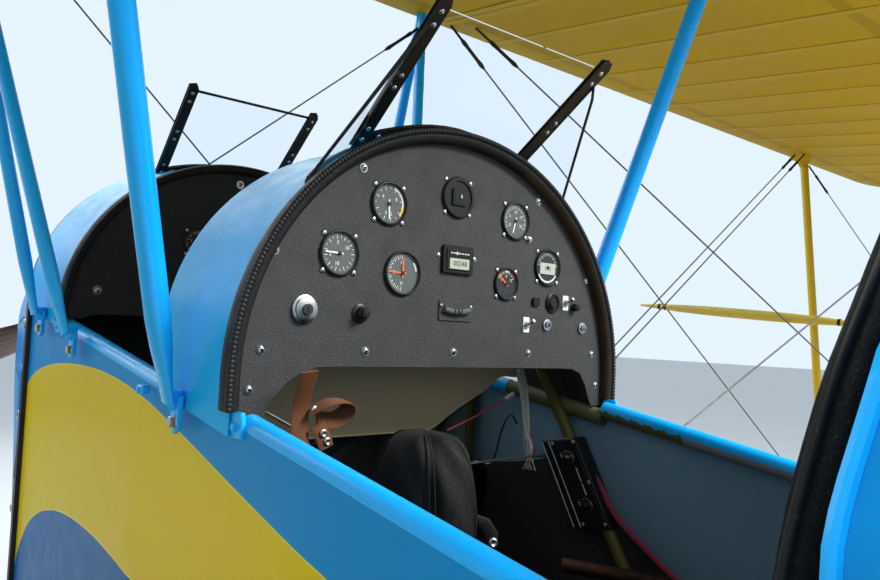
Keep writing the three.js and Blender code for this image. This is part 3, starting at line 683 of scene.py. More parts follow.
rear_deck = deck(-0.2, REAR_ARCH, 0.01, REAR_ARCH)
rear_deck = rear_deck.build("rear_deck_sheet", deck_blue, black_inside_and_shade, smooth=40, slot="blue_paint")
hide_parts("rear_deck")
front_deck = deck(FIREWALL, FIREWALL_ARCH, -0.67, FRONT_ARCH)
front_deck = front_deck.build(
    "front_deck_sheet", deck_blue, black_inside_and_shade, smooth=40, slot="blue_paint"
)
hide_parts("front_deck")

# Coamings
# A leather trim folded over each deck's aft edge and lined back to the panel.
# A ribbed cord is laced along its outer side at the rear cockpit.


def leather(name, colour, grain=520, crease=0.35):
    """Grained hide, a little worn and lighter on its creases."""
    made, tree, shader = material(name, Specular_IOR_Level=0.14)
    place = wire(tree, "TexCoord").outputs["Object"]
    cells = wire(tree, "TexVoronoi", {"Vector": place, "Scale": grain}, feature="DISTANCE_TO_EDGE")
    fine = spread(tree, cells.outputs["Distance"], 0.0, 1.0, 0.0, 0.16)
    folds = noise(tree, 22, 6, 0.62)
    light = tuple(min(1.0, c * 2.0 + 0.004) for c in colour[:3]) + (1.0,)
    base = mixed(tree, spread(tree, folds, 0.0, crease, 0.45, 0.75), colour, light)
    worn(tree, shader, base, 0.46)
    bump(tree, shader, maths(tree, "ADD", fine, folds), 0.0006, 0.5)
    return made


black_leather = leather("black_leather", linear(7, 7, 8))
cord_black = enamel("cord_black", linear(17, 17, 18), 0.5, 0.1)
lining_brown = leather("lining_brown", linear(46, 31, 12))


def swept(form, points, section, number):
    """A section of (outward, aft) points swept over an arch's points."""
    rows = [[p + out * n + Vector((0, y, 0)) for n, y in section] for p, out in points]
    form.rows(rows, number, ring=True, caps=True)


def resampled(points, pitch):
    """Points and directions at even distances along an arch."""
    lengths = [0.0]
    for (a, _), (b, _) in zip(points, points[1:]):
        lengths.append(lengths[-1] + (b - a).length)
    count = int(lengths[-1] / pitch)
    found = []
    k = 0
    for i in range(count + 1):
        want = lengths[-1] * i / count
        while k < len(lengths) - 2 and lengths[k + 1] < want:
            k += 1
        share = (want - lengths[k]) / (lengths[k + 1] - lengths[k])
        found.append((points[k][0].lerp(points[k + 1][0], share),
                      points[k][1].lerp(points[k + 1][1], share).normalized()))
    return found


TRIM = [
    # outward from the deck's face, aft of the panel
    (0.0008, -0.016), (0.003, -0.01), (0.005, 0.0), (0.0046, 0.01), (0.0005, 0.017),
    (-0.005, 0.018), (-0.01, 0.0145), (-0.0126, 0.009), (-0.013, 0.003), (-0.004, 0.003),
    (-0.003, -0.016),
]
CORD_PITCH = 0.0054
edge = arch(0.0, SKIRT, REAR_ARCH, 0.0, -0.012, 96)
coaming = Form()
swept(coaming, edge, TRIM, 0)
centre_line = resampled(edge, CORD_PITCH / 4)
cord_path = [p + out * 0.0036 + Vector((0, 0.016, 0)) for p, out in centre_line]
cord_radii = [0.0046 * (0.74, 0.93, 1.0, 0.93)[i % 4] for i in range(len(cord_path))]
coaming.tube(cord_path, cord_radii, 1, 10)
TRIM_LINING = [(-0.0056, 0.0181), (-0.0104, 0.015), (-0.0131, 0.0092), (-0.0135, 0.0022),
               (-0.0128, 0.0022), (-0.0124, 0.009), (-0.0098, 0.0143), (-0.005, 0.0175)]
swept(coaming, edge[60:], TRIM_LINING, 2)
coaming.build("rear_coaming", black_leather, cord_black, lining_brown, smooth=50)
FRONT_TRIM = [(n * 0.8 if n > 0 else n * 1.1, y + 0.002) for n, y in TRIM]
coaming = Form()
swept(coaming, arch(-0.68, SKIRT, FRONT_ARCH, 0.0, 0.004, 72), FRONT_TRIM, 0)
coaming.build("front_coaming", black_leather, smooth=50)

# Rear instrument panel
# Alloy sheet in sandy black crackle paint, cut up at the knees and held by socket screws.
# The dials, switches and sockets are bolted in from behind, under pressed black bezels.
PANEL_HALF = 0.3386
knee = [(0.2, 0.0635), (0.228, 0.0625), (0.25, 0.056), (0.27, 0.044), (0.287, 0.026), (0.3, 0.0015)]
outline = [(-PANEL_HALF, 0.0015), (-0.312, 0.0015), (-0.304, 0.016), (-0.294, 0.038), (-0.28, 0.056),
           (-0.262, 0.0625), (-0.235, 0.0635)] + knee + [(PANEL_HALF, 0.0015)]
PANEL_TOP = 0.3842
for i in range(49):
    angle = pi * i / 48
    outline.append((PANEL_HALF * cos(angle), 0.05 + (PANEL_TOP - 0.05) * sin(angle)))
PANEL_FACE = 0.002


def crackle():
    made, tree, shader = material("crackle_black")
    grains = noise(tree, 460, 4, 0.7)
    patches = noise(tree, 9, 4)
    base = mixed(tree, spread(tree, grains, 0.0, 1.0, 0.42, 0.62), linear(8, 8, 9), linear(45, 45, 45))
    base = mixed(tree, spread(tree, patches, 0.0, 0.3), base, linear(12, 12, 13))
    worn(tree, shader, base, 0.62)
    bump(tree, shader, grains, 0.0013, 0.8)
    return made


crackle_black = crackle()
black_plastic = enamel("black_plastic", linear(17, 17, 18), 0.38, 0.1)
dial_grey = enamel("dial_grey", linear(80, 86, 83), 0.6, 0.0)
dial_black = enamel("dial_black", linear(22, 23, 24), 0.6, 0.0)
mark_white = enamel("mark_white", linear(226, 226, 218), 0.55, 0.0)
mark_orange = enamel("mark_orange", linear(240, 104, 28), 0.5, 0.0)
mark_red = enamel("mark_red", linear(196, 30, 24), 0.5, 0.0)
mark_yellow = enamel("mark_yellow", linear(230, 196, 40), 0.5, 0.0)
display_grey = enamel("display_grey", linear(168, 176, 160), 0.35, 0.3)
label_white = enamel("label_white", linear(206, 207, 202), 0.5, 0.2)


def clear_sheet(name, tint, ior, coat):
    """A clear sheet; lamps and light from other surfaces reach through it unbent."""
    made, tree, shader = material(
        name, Base_Color=tint, Roughness=0.0, IOR=ior, Transmission_Weight=1.0, Coat_Weight=coat
    )
    path = wire(tree, "LightPath")
    passing = maths(
        tree, "MAXIMUM", path.outputs["Is Shadow Ray"], path.outputs["Is Diffuse Ray"]
    )
    tree.links.new(maths(tree, "SUBTRACT", 1.0, passing), shader.inputs["Alpha"])
    return made


cover_glass = clear_sheet("cover_glass", (1, 1, 1, 1), 1.05, 0.2)
INSTRUMENT = [
    crackle_black, black_plastic, dial_grey, dial_black, mark_white, mark_orange, mark_red,
    mark_yellow, steel, display_grey, label_white, dark_steel,
]
(CRACKLE, PLASTIC, GREY, INK, WHITE, ORANGE, RED, YELLOW, STEEL, DISPLAY, LABEL,
 DARK_STEEL) = range(len(INSTRUMENT))
AFT = (0, 1, 0)
GAUGE_RADIUS = 0.0285
GAUGE_SCREW = 0.0235  # from a dial's middle, across and up
BEZEL_RISE = 0.0047
BEZEL_WALL = 0.0022


def shifted(x, y, z):
    return Matrix.Translation((x, y, z))


def on_panel(x, z, face=PANEL_FACE):
    """A place on a panel: u to the pilot's right, v up, w towards the pilot."""
    return place_at(x, face, z) @ axes((-1, 0, 0), (0, 0, 1), AFT)


def mark(form, at, angle, start, end, width, height, number):
    """A flat bar on a dial, clockwise from the top, as a tick or a pointer."""
    way = Vector((sin(angle), cos(angle)))
    side = Vector((way.y, -way.x)) * width / 2
    corners = [way * end - side * 0.7, way * end + side * 0.7, way * start + side, way * start - side]
    form.add([at @ Vector((c.x, c.y, height)) for c in corners], [(0, 1, 2, 3)], number)


def arc(form, at, angle0, angle1, inner, outer, height, number):
    """A coloured band round part of a dial."""
    rows = []
    for i in range(13):
        angle = angle0 + (angle1 - angle0) * i / 12
        rows.append([
            at @ Vector((r * sin(angle), r * cos(angle), height)) for r in (inner, outer)
        ])
    form.rows(rows, number)


def numeral(form, text, at, size, number):
    """A plain number as thin flat faces, centred on the place."""
    curve = bpy.data.curves.new("numeral", "FONT")
    curve.body = text
    curve.size = size
    curve.align_x = "CENTER"
    curve.align_y = "CENTER"
    curve.resolution_u = 2
    carrier = bpy.data.objects.new("numeral", curve)
    flat = carrier.to_mesh()
    form.add([at @ v.co for v in flat.vertices], [tuple(f.vertices) for f in flat.polygons], number)
    carrier.to_mesh_clear()
    bpy.data.objects.remove(carrier)
    bpy.data.curves.remove(curve)


def rounded(width, height, radius, steps=5):
    """A rectangle's outline with round corners, about its middle."""
    found = []
    for cx, cy, start in ((1, 1, 0), (-1, 1, 90), (-1, -1, 180), (1, -1, 270)):
        for i in range(steps + 1):
            angle = radians(start + 90 * i / steps)
            found.append((cx * (width / 2 - radius) + radius * cos(angle),
                          cy * (height / 2 - radius) + radius * sin(angle)))
    return found


def corner_screws(form, at, reach, lift):
    """Four screws about a dial, each in a black washer where it stands proud of the panel."""
    for u in (-1, 1):
        for v in (-1, 1):
            place = at @ Vector((u * reach, v * reach, -lift))
            if lift > 0:
                form.lathe([(0.0046, 0.0), (0.0044, 0.0008), (0.0001, 0.0008)],
                           facing(place, AFT), PLASTIC, 12)
                place = place + Vector((0, 0.0006, 0))
            screw(form, place, AFT, 0.0036, STEEL)


def gauge(form, glass, x, z, face=GREY, screws=True, radius=GAUGE_RADIUS, ticks=(24, -150, 150),
          numerals=(), hands=((40, 0.8, WHITE),), arcs=(), panel_face=PANEL_FACE):
    """A round dial: bezel, sunk face, marks, pointers, cover glass and its four screws."""
    at = on_panel(x, z, panel_face + BEZEL_RISE)
    r = radius
    opening = r - BEZEL_WALL
    bezel = [(r + 0.0012, -BEZEL_RISE), (r + 0.0013, -0.0018), (r + 0.0004, -0.0006),
             (r - 0.0008, -0.0004), (r - 0.002, -0.0012), (opening, -0.0042)]
    form.lathe([(opening, -0.005), (opening, -0.0044)], at, face, 40)
    form.lathe(bezel, at, PLASTIC, 40, closed=True)
    count, first, last = ticks
    for i in range(count + 1):
        angle = radians(first + (last - first) * i / count)
        long = i % 2 == 0
        mark(form, at, angle, r * (0.64 if long else 0.7), r * 0.82, 0.0009 if long else 0.0006,
             -0.004, WHITE)
    for i, text in enumerate(numerals):
        angle = radians(first + (last - first) * i / (len(numerals) - (last - first < 350)))
        middle = at @ shifted(r * 0.48 * sin(angle), r * 0.48 * cos(angle), -0.004)
        numeral(form, text, middle, r * 0.24, WHITE)
    for angle0, angle1, number in arcs:
        arc(form, at, radians(angle0), radians(angle1), r * 0.76, r * 0.86, -0.0038, number)
    for i, (angle, length, number) in enumerate(hands):
        lift = -0.0032 + i * 0.0004
        mark(form, at, radians(angle), -r * 0.2, r * length * 0.8, 0.0026, lift, number)
    form.lathe([(0.0028, -0.0036), (0.0028, -0.0022), (0.0001, -0.0018)], at, PLASTIC, 14)
    glass.lathe([(0.0001, -0.0006), (r * 0.6, -0.0008), (opening, -0.0014)], at, 0, 32)
    if screws:
        corner_screws(form, at, GAUGE_SCREW * r / GAUGE_RADIUS, BEZEL_RISE)


panel = Form()
panel.plate([(-x, z) for x, z in reversed(outline)], 0.004, on_panel(0, 0, -0.002), CRACKLE, 0.0005)
glass = Form()
gauge(panel, glass, 0.13, 0.282, ticks=(14, -160, 170), numerals=("0", "4", "8", "12"),
      hands=((178, 0.9, WHITE),), arcs=((100, 128, YELLOW), (128, 134, RED), (20, 99, LABEL)))
gauge(panel, glass, 0.205, 0.208, ticks=(20, -80, 260), numerals=("", "5", "10", "", "10", "5"),
      hands=((-88, 0.95, WHITE), (92, 0.25, WHITE)))
gauge(panel, glass, 0.102, 0.191, GREY, False, 0.0295, (20, -175, -5), ("0", "5", "10"),
      ((-88, 0.95, ORANGE), (0, 0.85, ORANGE)), ((50, 80, LABEL),))
gauge(panel, glass, -0.113, 0.289, ticks=(24, -120, 120), numerals=("0", "5", "10", "15", "20"),
      hands=((-165, 0.85, WHITE),))
gauge(panel, glass, -0.098, 0.191, INK, True, 0.024, (12, -60, 60), ("4", "8", "12"),
      ((-50, 0.9, ORANGE),), ((-60, -40, ORANGE), (-10, 20, WHITE), (36, 60, RED)))
gauge(panel, glass, -0.19, 0.224, INK, True, 0.0285, (16, -80, 80), (),
      ((-40, 0.4, WHITE),), ((120, 240, LABEL),))
at = on_panel(-0.19, 0.224, PANEL_FACE + BEZEL_RISE)
panel.plate(rounded(0.036, 0.018, 0.0015), 0.0012, at @ shifted(0, -0.002, -0.004),
            DISPLAY, 0.0002)
numeral(panel, "0.00", at @ shifted(0, -0.002, -0.0026), 0.0085, INK)

# the round unit with a square window
at = on_panel(0.007, 0.308)
panel.lathe([(0.03, 0.0), (0.0302, 0.003), (0.0285, 0.0048), (0.024, 0.0048), (0.0236, 0.0028),
             (0.0001, 0.0028)], at, PLASTIC, 40)
panel.plate(rounded(0.027, 0.024, 0.002), 0.003, at @ shifted(0, 0, 0.0026), PLASTIC,
            0.0006)
panel.plate(rounded(0.021, 0.017, 0.0012), 0.0006, at @ shifted(0, 0, 0.0054), INK)
panel.plate(rounded(0.0035, 0.006, 0.0008), 0.0022, at @ shifted(0.001, 0.001, 0.0056),
            STEEL, 0.0004)
corner_screws(panel, at, GAUGE_SCREW, -0.0004)

# the hour meter
at = on_panel(0.004, 0.218)
panel.plate(rounded(0.058, 0.04, 0.003), 0.005, at, PLASTIC, 0.001)
panel.plate(rounded(0.047, 0.031, 0.002), 0.002, at @ shifted(0, 0, 0.0046), INK, 0.0006)
panel.plate(rounded(0.04, 0.0105, 0.001), 0.0005, at @ shifted(0, 0.0088, 0.0066), PLASTIC)
panel.plate(rounded(0.037, 0.015, 0.001), 0.0005, at @ shifted(0, -0.006, 0.0066), DISPLAY)
numeral(panel, "00248", at @ shifted(0.001, -0.006, 0.0073), 0.0105, INK)
for i in range(7):
    low = at @ shifted(-0.016 + i * 0.0053, 0.0088, 0.0072)
    panel.plate(rounded(0.0036, 0.0042 if i == 2 else 0.0018, 0.0004, 2), 0.0002, low, LABEL)
for u in (-1, 1):
    screw(panel, at @ Vector((u * 0.0345, 0.004, 0.0)), AFT, 0.004, STEEL)

# the slip ball in its curved tube
at = on_panel(0.003, 0.145)
panel.plate(rounded(0.063, 0.03, 0.003), 0.0018, at, CRACKLE, 0.0006)
tube = []
for i in range(17):
    u = -0.024 + 0.003 * i
    tube.append(at @ Vector((u, u * u * 6.0 - 0.002, 0.0042)))
panel.tube(tube, 0.0044, GREY, 10)
panel.lathe([(0.0001, 0.0094), (0.0026, 0.0086), (0.0044, 0.0062), (0.0046, 0.004)],
            at @ shifted(0.001, -0.002, 0.0), INK, 16)
for u in (-0.0065, 0.0065):
    panel.plate(rounded(0.0012, 0.0094, 0.0003, 2), 0.0006,
                at @ shifted(u, -0.0018, 0.0088), INK)
for u in (-1, 1):
    screw(panel, at @ Vector((u * 0.0285, 0.0065, 0.0028)), AFT, 0.0024, STEEL)

# push knob, lamp, buttons, toggles, sockets and the key switch
at = on_panel(0.168, 0.133)
panel.lathe([(0.013, 0.0), (0.013, 0.0016), (0.0105, 0.003), (0.0085, 0.0032), (0.008, 0.009),
             (0.0062, 0.011), (0.0058, 0.015), (0.0001, 0.0158)], at, PLASTIC, 28)
at = on_panel(-0.205, 0.168)
panel.lathe([(0.0155, 0.0), (0.0155, 0.0026), (0.0138, 0.0036), (0.0126, 0.002), (0.0108, 0.0036),
             (0.0094, 0.0022), (0.0076, 0.0044), (0.004, 0.005), (0.0001, 0.004)], at, PLASTIC, 30)
at = on_panel(-0.258, 0.164)
panel.lathe([(0.0064, 0.0), (0.0062, 0.01), (0.0048, 0.0112), (0.0001, 0.0116)], at, PLASTIC, 18)
at = on_panel(-0.145, 0.264)
panel.lathe([(0.005, 0.0), (0.005, 0.0016), (0.0038, 0.0024), (0.0034, 0.0046), (0.0001, 0.0058)],
            at, STEEL, 18)
at = on_panel(-0.165, 0.168)
panel.plate(rounded(0.015, 0.013, 0.002), 0.0046, at, PLASTIC, 0.0009)
for x, z in ((-0.237, 0.17), (-0.146, 0.131)):
    at = on_panel(x, z)
    panel.plate(rounded(0.014, 0.024, 0.0016), 0.0011, at, LABEL, 0.0003)
    panel.lathe([(0.0058, 0.001), (0.0058, 0.0032), (0.004, 0.0034), (0.0036, 0.006)], at, STEEL, 6)
    panel.tube([at @ Vector((0, 0, 0.004)), at @ Vector((0, 0.0035, 0.0105)),
                at @ Vector((0, 0.007, 0.017))], [0.0017, 0.0021, 0.0027], STEEL, 12)
for x, z in ((-0.193, 0.133), (-0.28, 0.131)):
    at = on_panel(x, z)
    panel.lathe([(0.009, 0.0), (0.009, 0.0026), (0.006, 0.0032), (0.0056, 0.0064), (0.0038, 0.0066),
                 (0.0036, 0.001), (0.0001, 0.0008)], at, STEEL, 22)
at = on_panel(0.252, 0.134)
panel.lathe([(0.018, 0.0), (0.0178, 0.003), (0.015, 0.0042), (0.0148, 0.0072), (0.012, 0.0084),
             (0.0001, 0.008)], at, STEEL, 30)
panel.lathe([(0.007, 0.0078), (0.0068, 0.0108), (0.0001, 0.011)], at, DARK_STEEL, 20)
# painted shade: the keyway is a black bar on the cylinder's face
panel.plate(rounded(0.001, 0.0075, 0.0003, 2), 0.0007, at @ shifted(0, 0, 0.0108), INK)
PANEL_SCREWS = [
    (0.174, 0.323), (0.297, 0.203), (0.308, 0.083), (0.321, 0.036), (0.157, 0.084), (0.003, 0.086),
    (-0.153, 0.087), (-0.308, 0.088), (-0.321, 0.036), (-0.288, 0.21), (-0.163, 0.326),
]
for x, z in PANEL_SCREWS:
    at = on_panel(x, z)
    panel.lathe([(0.0062, 0.0), (0.006, 0.0009), (0.0001, 0.0009)], at, STEEL, 20)
    # the sockets are dark steel, painted shade in their recesses
    screw(panel, at @ Vector((0, 0, 0.0008)), AFT, 0.0048, STEEL, DARK_STEEL, 0.62)
panel = panel.build("rear_panel", *INSTRUMENT, slot="panel_black")
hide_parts("rear_instrument_panel")
glass.build("rear_gauge_glass", cover_glass)

# Front instrument panel
# A plain black painted alloy sheet with fewer dials, behind a thick soft trim.
# It is held by larger socket screws on flat washers.
FRONT_FACE = -0.678
front = Form()
outline = [(-PANEL_HALF, 0.109), (-0.305, 0.109), (-0.292, 0.1165), (-0.25, 0.1185)]
outline += [(-x, z) for x, z in reversed(outline)]
for i in range(1, 48):
    angle = pi * i / 48
    outline.append((PANEL_HALF * cos(angle), 0.11 + 0.329 * sin(angle)))
place = on_panel(0, 0, FRONT_FACE - 0.004)
front.plate([(-x, z) for x, z in reversed(outline)], 0.004, place, INK, 0.0005)
glass = Form()
gauge(front, glass, 0.096, 0.271, INK, numerals=("0", "2", "4", "6", "8"), panel_face=FRONT_FACE)
gauge(front, glass, -0.02, 0.3, INK, ticks=(50, 0, 360), numerals=tuple("0123456789"),
      hands=((20, 0.6, WHITE), (140, 0.9, WHITE)), panel_face=FRONT_FACE)
gauge(front, glass, -0.136, 0.271, INK, panel_face=FRONT_FACE)
for x, z in ((0.284, 0.163), (0.011, 0.402), (-0.284, 0.163), (0.2, 0.352), (-0.2, 0.352)):
    at = on_panel(x, z, FRONT_FACE)
    front.lathe([(0.0085, 0.0), (0.0083, 0.001), (0.0001, 0.001)], at, STEEL, 20)
    # the sockets are dark steel, painted shade in their recesses
    screw(front, at @ Vector((0, 0, 0.001)), AFT, 0.0058, STEEL, DARK_STEEL, 0.6)
front = front.build("front_panel", *INSTRUMENT, slot="panel_black")
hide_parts("front_instrument_panel")
glass.build("front_gauge_glass", cover_glass)

# Windscreens
# Flat clear acrylic sheet, screwed between folded black alloy posts and a base strip.
# The rear one has two side panes in channels that run down to the deck's edge.
SCREEN_IOR = 1.05  # less than acrylic, as the panes are drawn without their bend of light
acrylic = clear_sheet("acrylic", (0.93, 0.96, 0.98, 1), SCREEN_IOR, 0.1)
PANE_THICKNESS = 0.003
BASE_STRIP = 0.024
SCREEN_GAP = 0.0012  # between the panes and the deck


def over_deck(x, y, shape):
    """Height of a deck's face."""
    straight, top = shape
    base = rail(y) + straight
    return base + (top - base) * sqrt(max(0.0, 1 - (x / SKIRT) ** 2))


def pane(form, rows, thickness=PANE_THICKNESS):
    """A flat pane of four sides given as rows, thick to its aft side."""
    a, b, c = rows[0][0], rows[0][-1], rows[-1][0]
    out = (b - a).cross(c - a).normalized() * thickness
    form.rows([row[::-1] for row in rows], 0)
    form.rows([[p + out for p in row] for row in rows], 0)
    ring = rows[0] + [r[-1] for r in rows[1:-1]] + rows[-1][::-1] + [r[0] for r in rows[1:-1]][::-1]
    form.rows([ring, [p + out for p in ring]], 0, ring=True)


def screen(tag, shape, foot_y, head, half_foot, half_head, lean, side=None):
    """One windscreen: panes, posts with paired screws, a base strip and pointed feet."""
    glass, trim = Form(), Form()
    head_y, head_z = head

    def foot(x):
        y = foot_y
        for _ in range(8):
            z = over_deck(x, y, shape)
            y = head_y - (head_z - z) * lean
        return spot(x, y, z + SCREEN_GAP)

    steps = 12
    low = [foot(half_foot * (1 - 2 * i / steps)) for i in range(steps + 1)]
    high = [spot(half_head * (1 - 2 * i / steps), head_y, head_z) for i in range(steps + 1)]
    pane(glass, [low, high])
    out = Vector((0, 1, lean)).normalized()
    for sign in (1, -1):
        bottom, top = foot(sign * half_foot), spot(sign * half_head, head_y, head_z)
        way = (top - bottom).normalized()
        across = way.cross(Vector((0, 1, 0))).normalized()
        flat = across.cross(way).normalized()
        place = axes(across, way, flat)
        long = (top - bottom).length
        width = 0.021
        strip = [(-width / 2, 0.004), (width / 2, 0.004), (width / 2, long + 0.006),
                 (width * 0.2, long + 0.017), (-width / 2, long + 0.013)]
        for lift, thick in ((0.0034, 0.0022), (-0.003, 0.0018)):
            at = Matrix.Translation(bottom + flat * lift) @ place
            trim.plate(strip, thick, at, 0, 0.0005)
        for share in (0.13, 0.52, 0.94):
            for gap in (-0.01, 0.01):
                at = bottom + way * (long * share + gap) + flat * 0.0056
                screw(trim, at, flat, 0.0038, 1)
    # base strip along the deck
    along, aft = Vector((0, lean, 1)).normalized(), Vector((0, 1, -lean)).normalized()
    band = [
        [p - aft * 0.004, p + aft * 0.0016, p + along * BASE_STRIP + aft * 0.0016,
         p + along * BASE_STRIP - aft * 0.004]
        for p in low
    ]
    trim.rows(band, 0, ring=True, caps=True)
    for k in (1, 4, 8, 11):
        screw(trim, low[k] + along * BASE_STRIP * 0.6 + aft * 0.0014, aft, 0.0036, 1)
    if side:
        for sign in (1, -1):
            bottom, top = foot(sign * half_foot), spot(sign * half_head, head_y, head_z)
            side_x, side_y = side
            outer = spot(sign * side_x, side_y, over_deck(side_x, side_y, shape) + SCREEN_GAP)
            base = []
            for i in range(9):
                x = sign * (half_foot + (side_x - half_foot) * i / 8)
                y = (bottom.y - PANEL_Y) + (side_y - (bottom.y - PANEL_Y)) * i / 8
                base.append(spot(x, y, over_deck(abs(x), y, shape) + SCREEN_GAP))
            edge_line = [top.lerp(outer, 0.06 + 0.94 * i / 8) for i in range(9)]
            edge_line[-1] = base[-1] + (edge_line[-2] - base[-1]) * 0.02
            edge_line[0] = bottom.lerp(top, 0.94)
            ends = [[line[0], line[-1]][::-sign] for line in (base, edge_line)]
            pane(glass, ends, 0.0022)
            foot_strip = [p.copy() for p in base]
            tail = (foot_strip[-1] - foot_strip[-2]).normalized() * 0.012
            foot_strip.append(foot_strip[-1] + tail)
            foot_strip[-1].z = RAIL_Z + over_deck(abs(foot_strip[-1].x), side_y, shape)
            trim.tube(foot_strip, [0.0062] * 8 + [0.0048, 0.001], 0, 8, flatten=0.5)
            trim.tube(edge_line, 0.0024, 0, 6)
    else:
        trim.tube([p + Vector((0, 0, 0.001)) for p in high], 0.0028, 0, 6)
    glass = glass.build(tag + "_screen", acrylic, slot="acrylic")
    # the panes' faces look outward all round, as light bends by them
    shell = bmesh.new()
    shell.from_mesh(glass.data)
    bmesh.ops.remove_doubles(shell, verts=shell.verts, dist=1e-6)
    bmesh.ops.recalc_face_normals(shell, faces=shell.faces)
    shell.to_mesh(glass.data)
    shell.free()
    for face in glass.data.polygons:
        face.use_smooth = False
    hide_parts(tag + "_windscreen")
    trim.build(tag + "_screen_frame", black_steel, steel)


screen("rear", REAR_ARCH, -0.06, (0.124, 0.51), 0.145, 0.1555, 184 / 141, (0.238, -0.026))
screen("front", FRONT_ARCH, -0.83, (-0.652, 0.568), 0.13, 0.137, 1.11)

# Cabane struts
# Round steel tubes in bright blue enamel, which carry the upper wing's middle.
# Their lower ends are squeezed flat and bolted to lugs at the top longerons.
RAIL_SIDE = SKIRT + 0.0003
CABANE = {
    # foot and head of each tube, from the panel
    "rear": [((0.3649, -0.122, rail(-0.122) - 0.012), (0.617, 0.068, 0.977))],
    "front": [
        ((0.3649, -0.565, rail(-0.565) - 0.012), (0.558, -0.813, 0.9905)),
        ((0.3649, -0.763, rail(-0.763) - 0.012), (0.558, -0.813, 0.9905)),
    ],
}


def strut(form, low, high, radius, flat_low=0.5, flat_high=0.55, slim=1.0):
    """A tube with squeezed ends; its blade lies along the fuselage."""
    count = 28
    path, radii, flats = [], [], []
    long = (high - low).length
    for i in range(count + 1):
        share = i / count
        path.append(low.lerp(high, share))
        near = min(share, 1 - share) * long
        squeeze = 1 - min(1.0, near / 0.11)
        end = flat_low if share < 0.5 else flat_high
        bend = squeeze * squeeze * (3 - 2 * squeeze)
        flats.append((1 - bend) * slim + bend * end * 0.62)
        radii.append(radius * (1 + 0.1 * bend))
    form.tube(path, radii, 0, 20, flatten=flats, up=(1, 0, 0))


for side, sign in SIDES:
    for tag, tubes in CABANE.items():
        form = Form()
        for foot, head in tubes:
            low, high = [spot(sign * x, y, z) for x, y, z in (foot, head)]
            way = (high - low).normalized()
            slim = 1.0 if tag == "rear" else 0.74
            strut(form, low + way * 0.004, high, 0.0158, slim=slim)
            # a blade carries the flattened end down to its bolt
            lug = [(-0.011, -0.03), (0.0, -0.036), (0.011, -0.03), (0.013, 0.012), (-0.013, 0.012)]
            at = facing(spot(sign * (RAIL_SIDE + 0.0012), foot[1], foot[2]), (sign, 0, 0))
            form.plate(lug, 0.007, at, 0, 0.0012)
            bolt(form, at @ Vector((0, -0.021, 0.007)), (sign, 0, 0), 0.0075, 1)
            fillet = [at @ Vector((0, v, 0.0075)) for v in (-0.006, 0.006, 0.018)]
            form.tube(fillet, [0.006, 0.0105, 0.012], 0, 12, flatten=0.7)
        built = form.build(f"{tag}_cabane_tubes_{side}", frame_blue, steel, slot="blue_paint")
        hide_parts(f"{tag}_cabane_{side}")
    # small welded bracket under the rail, with its pin
    form = Form()
    at = facing(spot(sign * SKIRT, -0.235, 0.018), (sign, 0, 0))
    form.plate(rounded(0.022, 0.012, 0.003), 0.012, at, 0, 0.002)
    form.tube([at @ Vector((-0.014, 0, 0.007)), at @ Vector((0.014, 0, 0.007))], 0.0042, 0, 10)
    bolt(form, at @ Vector((0.0, -0.002, 0.012)), (sign, 0, 0), 0.004, 0)
    form.build("rail_bracket_" + side, frame_blue)

# Wings
# Polyester fabric over wooden ribs and two spars, doped yellow; it dips between the ribs,
# draws the trailing edge into scallops and is taped and stitched over every rib.
CHORD = 1.39
WING_DEPTH = 0.105
FRONT_SPAR = 0.15
WING_PITCH = radians(6)
DIHEDRAL = radians(1.5)
RIB_PITCH = 0.215
SCALLOP = 0.022
TIP = 0.3
SAG = 0.0042
OVER = [
    # share of the chord, height as a share of the depth
    (0.0, 0.3), (0.004, 0.44), (0.012, 0.55), (0.03, 0.7), (0.055, 0.79), (0.09, 0.88),
    (0.13, 0.95), (0.2, 1.0), (0.3, 1.02), (0.4, 0.97), (0.5, 0.88), (0.61, 0.745), (0.72, 0.58),
    (0.761, 0.503), (0.7734, 0.48), (0.84, 0.36), (0.9, 0.24), (0.955, 0.13), (1.0, 0.045),
]
UNDER = [
    (1.0, 0.0), (0.9, 0.0), (0.7734, 0.0), (0.761, 0.0), (0.6, 0.0), (0.4, 0.0), (0.25, 0.0),
    (0.14, 0.0), (0.08, 0.015), (0.04, 0.05), (0.018, 0.11), (0.006, 0.19),
]


def wing_cloth():
    """Doped fabric, with painted shade where the spars and the leading edge would shadow it."""
    made, tree, shader = material("wing_cloth", Specular_IOR_Level=0.04)
    place = wire(tree, "SeparateXYZ", {0: wire(tree, "TexCoord").outputs["Object"]})
    aft = place.outputs["Y"]
    threads = weave_height(tree, 0.0016)
    # the yellow is darker than the sweep's paint, partly as painted shade for the underside; noise varies
    # its tone
    base = mixed(tree, spread(tree, noise(tree, 1.1, 5), 0.0, 0.55), linear(180, 150, 2),
                 linear(152, 120, 0))
    # painted shade: darker bands over the front spar, the rear spar and the leading edge, as their
    # shadows through the cloth
    for centre, half in ((0.15, 0.022), (1.0, 0.02), (0.01, 0.05)):
        far = maths(tree, "ABSOLUTE", maths(tree, "SUBTRACT", aft, centre))
        base = mixed(tree, spread(tree, far, 0.3, 0.0, half * 0.7, half), base, linear(110, 82, 0))
    worn(tree, shader, base, 0.5)
    bump(tree, shader, threads, 0.0002, 0.5)
    return made


wing_yellow = wing_cloth()
tape_yellow = enamel("tape_yellow", linear(172, 142, 2), 0.6, 0.0)
strut_yellow = enamel("strut_yellow", linear(190, 160, 10), 0.35, 0.5)


def wing_frame(spar_y, underside):
    """A wing's own frame, from its front spar's place and its underside there."""
    y = spar_y - FRONT_SPAR * cos(WING_PITCH)
    z = underside + FRONT_SPAR * sin(WING_PITCH)
    return place_at(0, y, z) @ Matrix.Rotation(-WING_PITCH, 4, "X")


